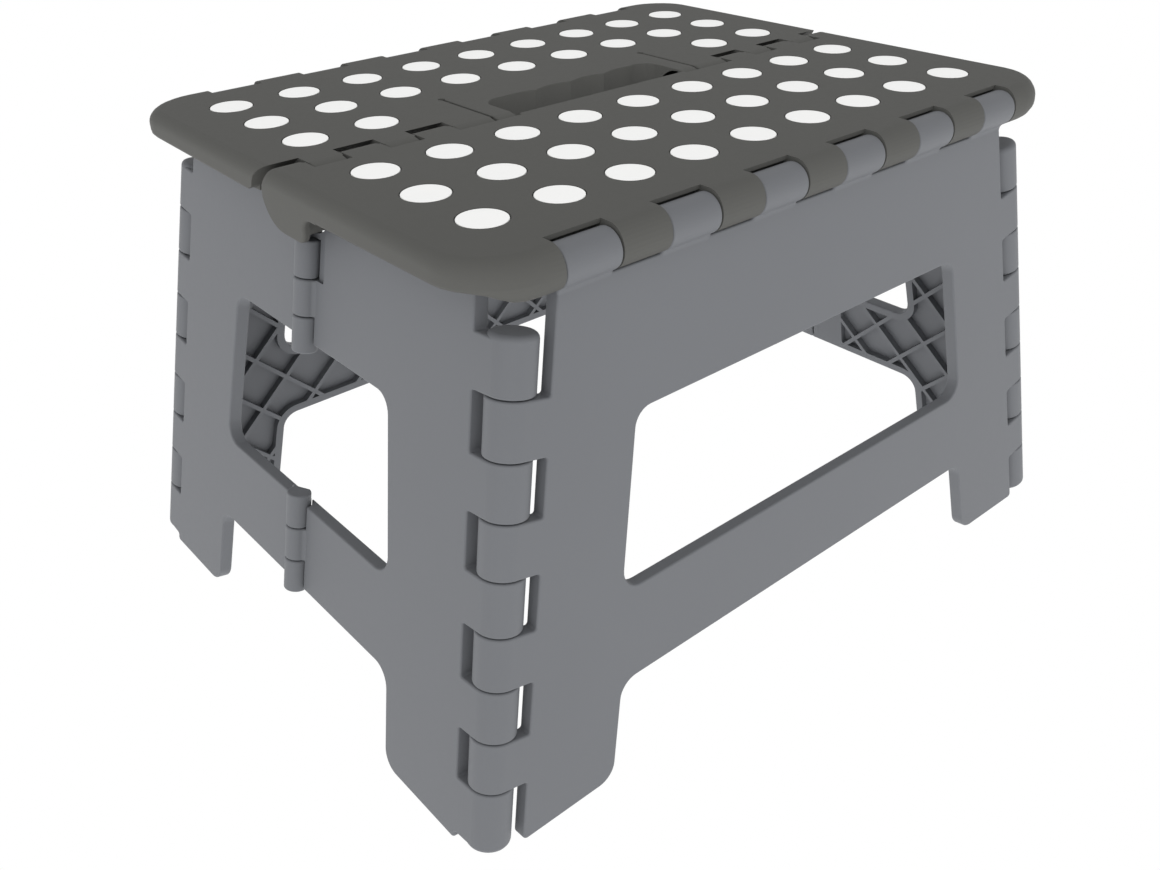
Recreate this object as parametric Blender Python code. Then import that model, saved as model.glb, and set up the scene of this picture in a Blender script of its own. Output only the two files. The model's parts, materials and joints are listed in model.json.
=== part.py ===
"""Folding step stool: two deck halves, two long sides and four end halves, all joined by pinned hinges."""
import math

import bmesh
import bpy
from mathutils import Matrix, Vector

# Overall form, in metres; depth is measured down from the deck
HEIGHT = 0.220
TOP_LENGTH = 0.316
TOP_WIDTH = 0.239
TOP_CORNER = 0.022
SLAB_T = 0.011
SLAB_ROUND = 0.005
SKIN_T = 0.004

# Sloping panels: spread of the outer face per depth, and how far the ends stand in from the deck's ends
SIDE_SLOPE = 0.105
END_SLOPE = 0.21
END_SETBACK = 0.019
PANEL_T = 0.006
DECK_CLEAR = 0.0035

# Windows, rails and feet of the panels
WINDOW_TOP = 0.0685
WINDOW_BOTTOM = 0.1385
WINDOW_R = 0.008
SIDE_WINDOW_UPPER = 0.0945
SIDE_WINDOW_LOWER = 0.108
END_WINDOW_UPPER = 0.059
END_WINDOW_LOWER = 0.0675
RAIL_DEEP = 0.0395
SIDE_FOOT_INNER = 0.112
END_FOOT_INNER = 0.0715
FOOT_R = 0.009
EDGE_CORNER_R = 0.0015

# Lattice of ribs on the inner faces
LATTICE_BORDER = 0.0045
LATTICE_PITCH = 0.031
LATTICE_RIB = 0.0022
LATTICE_SKIN = 0.0025

# Long-edge hinges between deck and sides, the deck's width apart
EDGE_R = 0.0073
EDGE_DEPTH = 0.0085
EDGE_PLAY = 0.0008
EDGE_PITCH = 0.045
EDGE_KNUCKLE = 0.0234
EDGE_COUNT = 6
EDGE_INSET = 0.008
EDGE_PIN_R = 0.0025
EDGE_BACK = 0.0042
SLAB_LIP = 0.0045

# Centre hinge of the deck
CENTRE_R = 0.013
CENTRE_PLAY = 0.0017
CENTRE_PIN_R = 0.0025
FINGER_FIRST = 0.078
FINGER_W = 0.016
FINGER_COUNT = 3
FINGER_GAP = 0.001

# Finger opening and relief slits of the rear half
HANDLE_HALF = 0.048
HANDLE_REAR = 0.0205
HANDLE_R = 0.0085
HANDLE_FRONT = 0.0045
SCALLOP_DEEP = 0.0022
SCALLOP_COUNT = 4
SCALLOP_FADE = 0.25
HANDLE_WALL = 0.016
SLIT_X = 0.058
SLIT_W = 0.0012
SLIT_END = 0.035

# Corner hinges between sides and ends
CORNER_R = 0.0085
CORNER_SLOT = 0.0024
CORNER_TOP = 0.0285
CORNER_FOOT = 0.001
CORNER_TAIL = 0.005
CORNER_COUNT = 9
CORNER_PIN_R = 0.00225
TONGUE_LAP = 0.003

# Middle hinges of the ends: three knuckles in the upper band and three in the lower rail
MID_R = 0.005
MID_OUT = 0.0005
MID_PLAY = 0.001
MID_GAP = 0.0004
MID_PIN_R = 0.00175
MID_LOBE_CLEAR = 0.0019
MID_NOTCH_CLEAR = 0.004
MID_NOTCH_R = 0.012
MID_UPPER_PITCH = 0.0152
MID_RISE = 0.002
MID_LOWER_PITCH = 0.0157
MID_COUNT = 3

# Grip dots
DOT_R = 0.0088
DOT_PITCH = 0.032
DOT_FIRST_ROW = 0.0255
DOT_ROWS = 3
DOT_COLUMNS = 9
DOT_HANDLE_CLEAR = 0.090

# Soft mat that carries the dots, in row pockets under the deck
MAT_T = 0.0015
MAT_BRIDGE_X = 0.112
MAT_BRIDGE_W = 0.008
RIB_T = 0.002
SKIRT_T = 0.005
MAT_EDGE = 0.001

# Fits
FIT = 0.0003
AXIAL_GAP = 0.0004
STEP = 0.0001
BLIND = 0.003
OVERRUN = 0.005
REACH = 0.05

# Facets of round shapes
ARC_STEPS = 3
KNUCKLE_STEPS = 9
ROUND_SIDES = 16
SEAM_SIDES = 20
PIN_SIDES = 8
DOT_SIDES = 12
SMOOTH_ANGLE = math.radians(40.0)

# What follows from the sizes above
SIDE_LEAN = math.atan(SIDE_SLOPE)
END_LEAN = math.atan(END_SLOPE)
SIDE_FACE = TOP_WIDTH / 2.0
END_FACE = TOP_LENGTH / 2.0 - END_SETBACK
EDGE_Y = SIDE_FACE
RAIL_BOTTOM = WINDOW_BOTTOM + RAIL_DEEP
SIDE_TOP = EDGE_DEPTH + EDGE_R + 2.0 * EDGE_PLAY
END_TOP = SLAB_T + DECK_CLEAR
EDGE_REACH = TOP_LENGTH / 2.0 - EDGE_INSET
FINGER_PITCH = (TOP_LENGTH / 2.0 - FINGER_W - FINGER_FIRST) / (FINGER_COUNT - 1)
CORNER_LENGTH = (HEIGHT - CORNER_FOOT) * math.hypot(1.0, SIDE_SLOPE, END_SLOPE)
CORNER_PITCH = (CORNER_LENGTH - CORNER_TOP - CORNER_TAIL) / CORNER_COUNT
MID_UPPER = (2.0 * CENTRE_R + MID_LOBE_CLEAR) / math.cos(END_LEAN)
MID_LOWER = WINDOW_BOTTOM - MID_RISE
MID_NOTCH = CENTRE_R + MID_NOTCH_CLEAR
MID_GROUPS = ((MID_UPPER, MID_UPPER_PITCH, "upper"), (MID_LOWER, MID_LOWER_PITCH, "lower"))
POCKET_NEAR = DOT_FIRST_ROW - DOT_R - MAT_EDGE
POCKET_FAR = EDGE_Y - EDGE_R - SKIRT_T

PARTS = "caravan_step_stool"
CUTTERS = "cutters"


def start():
    """Empty the file and make the two collections."""
    for old in list(bpy.data.objects):
        bpy.data.objects.remove(old, do_unlink=True)
    for name in (PARTS, CUTTERS):
        if name not in bpy.data.collections:
            group = bpy.data.collections.new(name)
            bpy.context.scene.collection.children.link(group)


def material(name, colour, roughness, metallic=0.0):
    """A plain Principled material."""
    made = bpy.data.materials.new(name)
    made.use_nodes = True
    shader = made.node_tree.nodes["Principled BSDF"]
    shader.inputs["Base Color"].default_value = (*colour, 1.0)
    shader.inputs["Roughness"].default_value = roughness
    shader.inputs["Metallic"].default_value = metallic
    made.diffuse_color = (*colour, 1.0)
    return made


def rounded(corners, inset=0.0):
    """Points of a closed outline from corners (x, y, radius), with every side moved inward by inset."""
    points = [Vector(corner[:2]) for corner in corners]
    count = len(points)
    area = sum(points[i - 1].cross(points[i]) for i in range(count))
    turn = math.copysign(1.0, area)
    ways = [(points[(i + 1) % count] - points[i]).normalized() for i in range(count)]
    moved = []
    for i in range(count):
        before, after = ways[i - 1], ways[i]
        normal_a = turn * Vector((-before.y, before.x))
        normal_b = turn * Vector((-after.y, after.x))
        share = inset / (1.0 + normal_a.dot(normal_b))
        moved.append(points[i] + share * (normal_a + normal_b))
    loop = []
    for i in range(count):
        before, after = ways[i - 1], ways[i]
        bend = before.cross(after)
        radius = corners[i][2]
        if radius > 0.0:
            radius = max(radius - math.copysign(inset, bend * turn), 0.0)
        if radius < STEP:
            loop.append(tuple(moved[i]))
            continue
        angle = math.atan2(bend, before.dot(after))
        run = radius * math.tan(abs(angle) / 2.0)
        side = math.copysign(1.0, angle)
        centre = moved[i] - run * before + radius * side * Vector((-before.y, before.x))
        arm = moved[i] - run * before - centre
        for step in range(ARC_STEPS + 1):
            turned = Matrix.Rotation(angle * step / ARC_STEPS, 2) @ arm
            loop.append(tuple(centre + turned))
    return loop


def outline_mesh(loops, low, high, rounding=0.0):
    """A flat outline extruded from low to high along Z, with its rims rounded where asked."""
    curve = bpy.data.curves.new("outline", 'CURVE')
    curve.dimensions = '2D'
    curve.fill_mode = 'BOTH'
    curve.extrude = (high - low) / 2.0 - rounding
    curve.bevel_depth = rounding
    curve.bevel_resolution = 1
    curve.offset = -rounding
    for loop in loops:
        spline = curve.splines.new('POLY')
        spline.points.add(len(loop) - 1)
        for point, (x, y) in zip(spline.points, loop):
            point.co = (x, y, 0.0, 1.0)
        spline.use_cyclic_u = True
    holder = bpy.data.objects.new("outline", curve)
    bpy.context.scene.collection.objects.link(holder)
    graph = bpy.context.evaluated_depsgraph_get()
    mesh = bpy.data.meshes.new_from_object(holder.evaluated_get(graph))
    bpy.data.objects.remove(holder)
    bpy.data.curves.remove(curve)
    work = bmesh.new()
    work.from_mesh(mesh)
    bmesh.ops.remove_doubles(work, verts=work.verts, dist=1e-6)
    bmesh.ops.translate(work, verts=work.verts, vec=(0.0, 0.0, (low + high) / 2.0))
    bmesh.ops.recalc_face_normals(work, faces=work.faces)
    work.to_mesh(mesh)
    work.free()
    return mesh


def rod(first, last, radius, sides=ROUND_SIDES):
    """A cylinder between two points."""
    first, last = Vector(first), Vector(last)
    way = last - first
    place = Matrix.Translation((first + last) / 2.0) @ way.to_track_quat('Z', 'Y').to_matrix().to_4x4()
    work = bmesh.new()
    bmesh.ops.create_cone(work, cap_ends=True, segments=sides, radius1=radius, radius2=radius,
                          depth=way.length, matrix=place)
    mesh = bpy.data.meshes.new("rod")
    work.to_mesh(mesh)
    work.free()
    return mesh


def block(low, high):
    """A box between two opposite corners."""
    low, high = Vector(low), Vector(high)
    size = high - low
    place = Matrix.Translation((low + high) / 2.0) @ Matrix.Diagonal((*size, 1.0))
    work = bmesh.new()
    bmesh.ops.create_cube(work, size=1.0, matrix=place)
    mesh = bpy.data.meshes.new("block")
    work.to_mesh(mesh)
    work.free()
    return mesh


def ball(centre, radius):
    """A sphere whose poles lie along X."""
    place = Matrix.Translation(centre) @ Matrix.Rotation(math.pi / 2.0, 4, 'Y')
    work = bmesh.new()
    bmesh.ops.create_uvsphere(work, u_segments=ROUND_SIDES, v_segments=ROUND_SIDES // 2, radius=radius,
                              matrix=place)
    mesh = bpy.data.meshes.new("ball")
    work.to_mesh(mesh)
    work.free()
    return mesh


def gather(meshes):
    """One mesh of several."""
    work = bmesh.new()
    for mesh in meshes:
        work.from_mesh(mesh)
        bpy.data.meshes.remove(mesh)
    joined = bpy.data.meshes.new("gathered")
    work.to_mesh(joined)
    work.free()
    return joined


def tool(name, mesh, place):
    """A hidden shape that is cut from, or joined to, a part."""
    made = bpy.data.objects.new(name, mesh)
    made.matrix_world = place
    made.hide_render = True
    made.display_type = 'WIRE'
    bpy.data.collections[CUTTERS].objects.link(made)
    return made


def combine(target, operation, other):
    """Add a Boolean step to a part."""
    step = target.modifiers.new(other.name, 'BOOLEAN')
    step.operation = operation
    step.solver = 'EXACT'
    step.object = other


def axis_empty(name, point):
    """An empty on a joint's axis, which carries the pieces of one moving body."""
    made = bpy.data.objects.new(name, None)
    made.empty_display_size = EDGE_KNUCKLE
    made.location = point
    bpy.data.collections[PARTS].objects.link(made)
    return made


def node(name, mesh, place, coat, carrier, smooth=False):
    """A named part that rides on the carrier of its body."""
    made = bpy.data.objects.new(name, mesh)
    bpy.data.collections[PARTS].objects.link(made)
    made.data.materials.append(coat)
    made.matrix_world = place
    made.parent = carrier
    made.matrix_parent_inverse = Matrix.Translation(carrier.location).inverted()
    if smooth:
        made.data.shade_smooth()
        made.data.set_sharp_from_angle(angle=SMOOTH_ANGLE)
    return made


def panel_place(lean, turn, face):
    """Frame of a sloping panel: X along it, Y up its outer face, Z outward, origin at deck level."""
    around = Matrix.Rotation(turn, 4, 'Z')
    tilt = Matrix.Rotation(math.pi / 2.0 - lean, 4, 'X')
    return around @ Matrix.Translation((0.0, -face, HEIGHT)) @ tilt


def axis_offset(own_lean, other_face, other_slope, other_lean):
    """Distance of a corner axis from the panel's middle at its deck-level mark, and its spread per slant."""
    base = other_face - CORNER_R / math.cos(other_lean) + other_slope * CORNER_R * math.sin(own_lean)
    return base, other_slope * math.cos(own_lean)


def corner_frame(own_lean, other_face, other_slope, other_lean, side):
    """Frame on a corner axis seen from one panel: X into the panel, Y outward, Z along the axis."""
    base, spread = axis_offset(own_lean, other_face, other_slope, other_lean)
    into = Vector((-side, -spread, 0.0)).normalized()
    out = Vector((0.0, 0.0, 1.0))
    along = into.cross(out)
    high = CORNER_R * math.tan(own_lean)
    origin = Vector((side * (base - spread * high), high, -CORNER_R))
    frame = Matrix((into, out, along)).transposed().to_4x4()
    return Matrix.Translation(origin) @ frame


def corner_span(first, last, side):
    """Range along a corner frame's Z for a stretch measured down the axis."""
    if side < 0:
        return first, last
    return -last, -first


def knuckle_profile(radius, low, high, lap):
    """Circle about the origin with a tongue between two heights that runs along X as far as lap."""
    first = math.atan2(high, math.sqrt(max(radius * radius - high * high, 0.0)))
    last = 2.0 * math.pi + math.atan2(low, math.sqrt(radius * radius - low * low))
    loop = [(lap, low), (lap, high)]
    for step in range(KNUCKLE_STEPS + 1):
        angle = first + (last - first) * step / KNUCKLE_STEPS
        loop.append((radius * math.cos(angle), radius * math.sin(angle)))
    return loop


def corner_knuckles(frame, side, first):
    """Every second knuckle of a corner, starting with number first."""
    meshes = []
    profile = knuckle_profile(CORNER_R - STEP, CORNER_R - PANEL_T + STEP, CORNER_R - STEP,
                              CORNER_R + CORNER_SLOT + TONGUE_LAP)
    for number in range(first, CORNER_COUNT, 2):
        low = CORNER_TOP + number * CORNER_PITCH + AXIAL_GAP / 2.0
        high = CORNER_TOP + (number + 1) * CORNER_PITCH - AXIAL_GAP / 2.0
        if number == CORNER_COUNT - 1:
            high += CORNER_TAIL
        mesh = outline_mesh([profile], *corner_span(low, high, side))
        mesh.transform(frame)
        meshes.append(mesh)
    return meshes


def corner_bore(frame, side):
    """Bore along a corner axis: blind at the top, open below."""
    low, high = corner_span(CORNER_TOP + BLIND, HEIGHT + REACH, side)
    ends = [frame @ Vector((0.0, 0.0, z)) for z in (low, high)]
    return rod(*ends, CORNER_PIN_R + FIT, PIN_SIDES)


def edge_line(own_lean, other_face, other_slope, other_lean, slant):
    """Half-width of a panel at a slant distance, its edge standing clear of the other panel's knuckles."""
    base, spread = axis_offset(own_lean, other_face, other_slope, other_lean)
    return base + spread * slant - (CORNER_R + CORNER_SLOT) * math.hypot(1.0, spread)


def inside(point, loop):
    """Whether a point lies inside a closed outline."""
    x, y = point
    hit = False
    for (x1, y1), (x2, y2) in zip(loop, loop[1:] + loop[:1]):
        if (y1 > y) != (y2 > y) and x < x1 + (y - y1) * (x2 - x1) / (y2 - y1):
            hit = not hit
    return hit


def lattice(name, outer, holes, place):
    """Cutter for the whole cells between the crossing ribs inside an outline and outside its holes."""
    half = LATTICE_PITCH / 2.0 - LATTICE_RIB / math.sqrt(2.0)
    cells = []
    wide = round(TOP_LENGTH / LATTICE_PITCH)
    tall = round(HEIGHT / LATTICE_PITCH)
    for i in range(-2 * wide, 2 * wide + 1):
        for j in range(2 * tall + 2):
            if (i + j) % 2:
                continue
            x, y = i * LATTICE_PITCH / 2.0, -j * LATTICE_PITCH / 2.0
            diamond = [(x - half, y), (x, y - half), (x + half, y), (x, y + half)]
            kept = all(inside(tip, outer) for tip in diamond)
            if kept and not any(inside(tip, hole) for tip in diamond for hole in holes):
                cells.append(outline_mesh([diamond], -PANEL_T - REACH, -LATTICE_SKIN))
    return tool(name, gather(cells), place)


def side_corners():
    """Outline of a long side, outer loop and window."""
    cos_lean = math.cos(SIDE_LEAN)
    top, rail, floor = SIDE_TOP / cos_lean, RAIL_BOTTOM / cos_lean, HEIGHT / cos_lean
    other = (SIDE_LEAN, END_FACE, END_SLOPE, END_LEAN)
    foot = SIDE_FOOT_INNER + END_SLOPE * (HEIGHT - RAIL_BOTTOM)
    right = [
        (SIDE_FOOT_INNER, -rail, FOOT_R),
        (foot, -floor, FOOT_R),
        (edge_line(*other, floor), -floor, EDGE_CORNER_R),
        (edge_line(*other, top), -top, EDGE_CORNER_R),
    ]
    left = [(-x, y, r) for x, y, r in reversed(right)]
    low, high = WINDOW_BOTTOM / cos_lean, WINDOW_TOP / cos_lean
    window = [
        (-SIDE_WINDOW_UPPER, -high, WINDOW_R),
        (-SIDE_WINDOW_LOWER, -low, WINDOW_R),
        (SIDE_WINDOW_LOWER, -low, WINDOW_R),
        (SIDE_WINDOW_UPPER, -high, WINDOW_R),
    ]
    return right + left, window


def end_corners(sense):
    """Outline of one half of an end; sense is the side of the middle hinge that it lies on."""
    cos_lean = math.cos(END_LEAN)
    top, rail, floor = END_TOP / cos_lean, RAIL_BOTTOM / cos_lean, HEIGHT / cos_lean
    low, high = WINDOW_BOTTOM / cos_lean, WINDOW_TOP / cos_lean
    other = (END_LEAN, SIDE_FACE, SIDE_SLOPE, SIDE_LEAN)
    foot = END_FOOT_INNER + SIDE_SLOPE * (HEIGHT - RAIL_BOTTOM)
    half = [
        (edge_line(*other, top), -top, EDGE_CORNER_R),
        (MID_NOTCH, -top, EDGE_CORNER_R),
        (MID_NOTCH, -MID_UPPER, MID_NOTCH_R),
        (MID_GAP, -MID_UPPER, 0.0),
        (MID_GAP, -high, 0.0),
        (END_WINDOW_UPPER, -high, WINDOW_R),
        (END_WINDOW_LOWER, -low, WINDOW_R),
        (MID_GAP, -low, 0.0),
        (MID_GAP, -rail, 0.0),
        (END_FOOT_INNER, -rail, FOOT_R),
        (foot, -floor, FOOT_R),
        (edge_line(*other, floor), -floor, EDGE_CORNER_R),
    ]
    return [(sense * x, y, r) for x, y, r in half]


def floor_block():
    """Everything below the floor."""
    far = TOP_LENGTH
    return tool("floor", block((-far, -far, -REACH), (far, far, 0.0)), Matrix.Identity(4))


def edge_centres():
    """Middles of the side panels' top knuckles."""
    return [(i - (EDGE_COUNT - 1) / 2.0) * EDGE_PITCH for i in range(EDGE_COUNT)]


def side_panel(name, turn, coat, carrier, floor):
    """A long side with its window, feet, lattice and knuckles."""
    place = panel_place(SIDE_LEAN, turn, SIDE_FACE)
    outer, window = side_corners()
    plate = outline_mesh([rounded(outer), rounded(window)], -PANEL_T, 0.0)
    made = node(name, plate, place, coat, carrier)

    joined = []
    frames = []
    for side in (-1, 1):
        frame = corner_frame(SIDE_LEAN, END_FACE, END_SLOPE, END_LEAN, side)
        frames.append((frame, side))
        joined += corner_knuckles(frame, side, 1)

    hinge = panel_place(SIDE_LEAN, 0.0, SIDE_FACE).inverted() @ Vector((0.0, -EDGE_Y, HEIGHT - EDGE_DEPTH))
    turned = Matrix.Rotation(-math.pi / 2.0, 4, 'Z') @ Matrix.Rotation(math.pi / 2.0, 4, 'X')
    down = Matrix.Translation(hinge) @ turned
    lap = SIDE_TOP / math.cos(SIDE_LEAN) + TONGUE_LAP + hinge.y
    profile = knuckle_profile(EDGE_R, STEP - PANEL_T - hinge.z, -STEP - hinge.z, lap)
    for x in edge_centres():
        half = EDGE_KNUCKLE / 2.0 - AXIAL_GAP / 2.0
        mesh = outline_mesh([profile], x - half, x + half)
        mesh.transform(down)
        joined.append(mesh)
    ends = [hinge + Vector((x, 0.0, 0.0)) for x in (-EDGE_REACH, EDGE_REACH)]
    bore = rod(*ends, EDGE_PIN_R + FIT, PIN_SIDES)
    bores = [bore] + [corner_bore(frame, side) for frame, side in frames]

    field, hole = rounded(outer, LATTICE_BORDER), rounded(window, -LATTICE_BORDER)
    cells = lattice(name + "_lattice", field, [hole], place)
    combine(made, 'UNION', tool(name + "_knuckles", gather(joined), place))
    combine(made, 'DIFFERENCE', tool(name + "_bores", gather(bores), place))
    combine(made, 'DIFFERENCE', cells)
    combine(made, 'DIFFERENCE', floor)
    return made


def mid_levels():
    """Slant range of each middle knuckle, with its number in its group."""
    levels = []
    for top, pitch, _ in MID_GROUPS:
        for number in range(MID_COUNT):
            levels.append((number, top + number * pitch, top + (number + 1) * pitch))
    return levels


def end_half(name, turn, sense, owns, coat, carrier, floor):
    """One half of an end; owns is the remainder of the knuckle numbers that belong to it."""
    place = panel_place(END_LEAN, turn, END_FACE)
    corners = end_corners(sense)
    made = node(name, outline_mesh([rounded(corners)], -PANEL_T, 0.0), place, coat, carrier)
    frame = corner_frame(END_LEAN, SIDE_FACE, SIDE_SLOPE, SIDE_LEAN, sense)
    joined = corner_knuckles(frame, sense, 0)
    clear = []
    bores = [corner_bore(frame, sense)]
    for number, top, bottom in mid_levels():
        own = number % 2 == owns
        if own:
            ends = [(0.0, -top - AXIAL_GAP / 2.0, MID_OUT), (0.0, -bottom + AXIAL_GAP / 2.0, MID_OUT)]
            joined.append(rod(*ends, MID_R, KNUCKLE_STEPS))
        else:
            wide = MID_R + MID_PLAY
            clear.append(block((-wide, -bottom - AXIAL_GAP / 2.0, -PANEL_T - STEP),
                               (wide, -top + AXIAL_GAP / 2.0, REACH)))
    play = FIT if owns else MID_PLAY
    for top, pitch, _ in MID_GROUPS:
        low = top + MID_COUNT * pitch + OVERRUN
        bores.append(rod((0.0, -top - BLIND, MID_OUT), (0.0, -low, MID_OUT), MID_PIN_R + play, PIN_SIDES))
    combine(made, 'DIFFERENCE', tool(name + "_clear", gather(clear), place))
    combine(made, 'UNION', tool(name + "_knuckles", gather(joined), place))
    combine(made, 'DIFFERENCE', tool(name + "_bores", gather(bores), place))
    combine(made, 'DIFFERENCE', lattice(name + "_lattice", rounded(corners, LATTICE_BORDER), [], place))
    combine(made, 'DIFFERENCE', floor)
    return made


def finger_spans():
    """Stretches of the seam, on the right side, that belong to the front half."""
    spans = []
    for i in range(FINGER_COUNT):
        low = FINGER_FIRST + i * FINGER_PITCH
        spans.append((low, low + FINGER_W))
    return spans


def between_spans():
    """Stretches of the seam, on the right side, that belong to the rear half."""
    front = finger_spans()
    lows = [HANDLE_HALF] + [high + FINGER_GAP for low, high in front[:-1]]
    highs = [low - FINGER_GAP for low, high in front]
    return list(zip(lows, highs))


def both_sides(spans):
    """The same stretches on the right and the left."""
    return spans + [(-high, -low) for low, high in spans]


def dot_places(side):
    """Centres of the grip dots of one half."""
    places = []
    for row in range(DOT_ROWS):
        for column in range(DOT_COLUMNS):
            x = (column - (DOT_COLUMNS - 1) / 2.0) * DOT_PITCH
            if side > 0 and row == 0 and abs(x) < DOT_HANDLE_CLEAR:
                continue
            places.append((x, side * (DOT_FIRST_ROW + row * DOT_PITCH)))
    return places


def dot_rods(side, low, high, radius):
    """A cylinder at every dot."""
    return [rod((x, y, low), (x, y, high), radius, DOT_SIDES) for x, y in dot_places(side)]


def row_boxes(side, low, high, spare):
    """Boxes of the dot rows under the deck, each drawn in by spare on its four sides."""
    boxes = []
    half = DOT_PITCH / 2.0 - RIB_T / 2.0
    end = TOP_LENGTH / 2.0 - SKIRT_T
    for row in range(DOT_ROWS):
        y = DOT_FIRST_ROW + row * DOT_PITCH
        near = POCKET_NEAR if row == 0 else y - half
        far = POCKET_FAR if row == DOT_ROWS - 1 else y + half
        ends = sorted((side * (near + spare), side * (far - spare)))
        spans = [(spare - end, end - spare)]
        if side > 0 and row == 0:
            spans = both_sides([(HANDLE_HALF + HANDLE_WALL + spare, end - spare)])
        for left, right in spans:
            boxes.append(block((left, ends[0], low), (right, ends[1], high)))
    return boxes


def bridge_boxes(side, low, high, spare):
    """Boxes that pass through the ribs and tie the rows of the mat, widened by spare."""
    wide = MAT_BRIDGE_W / 2.0 + spare
    last = DOT_FIRST_ROW + (DOT_ROWS - 1) * DOT_PITCH
    ends = sorted((side * DOT_FIRST_ROW, side * last))
    return [block((x - wide, ends[0], low), (x + wide, ends[1], high)) for x in (-MAT_BRIDGE_X, MAT_BRIDGE_X)]


def grip_insert(name, side, coat, carrier):
    """White soft insert of one half: a mat under the skin whose dots stand up through it."""
    place = Matrix.Translation((0.0, 0.0, HEIGHT))
    high = -SKIN_T - FIT
    low = high - MAT_T
    made = node(name, gather(row_boxes(side, low, high, FIT)), place, coat, carrier, smooth=True)
    bridges = gather(bridge_boxes(side, low + STEP, high - STEP, 0.0))
    combine(made, 'UNION', tool(name + "_bridges", bridges, place))
    dots = gather(dot_rods(side, low + MAT_T / 2.0, 0.0, DOT_R))
    combine(made, 'UNION', tool(name + "_dots", dots, place))
    return made


def handle_loop():
    """Outline of the finger opening, scalloped along the pull edge."""
    count = SCALLOP_COUNT * ARC_STEPS * 2
    inner = HANDLE_HALF - HANDLE_R
    loop = [(-HANDLE_HALF, -REACH), (HANDLE_HALF, -REACH)]
    for step in range(ARC_STEPS + 1):
        angle = math.pi / 2.0 * step / ARC_STEPS
        loop.append((inner + HANDLE_R * math.cos(angle), HANDLE_REAR - HANDLE_R + HANDLE_R * math.sin(angle)))
    for step in range(1, count):
        x = inner - 2.0 * inner * step / count
        dip = SCALLOP_DEEP * (1.0 - abs(math.sin(math.pi * SCALLOP_COUNT * step / count)))
        fade = min(1.0, min(step, count - step) / count / SCALLOP_FADE)
        loop.append((x, HANDLE_REAR - dip * fade))
    for step in range(ARC_STEPS + 1):
        angle = math.pi / 2.0 * (1.0 + step / ARC_STEPS)
        loop.append((-inner + HANDLE_R * math.cos(angle), HANDLE_REAR - HANDLE_R * (1.0 - math.sin(angle))))
    return loop


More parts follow.
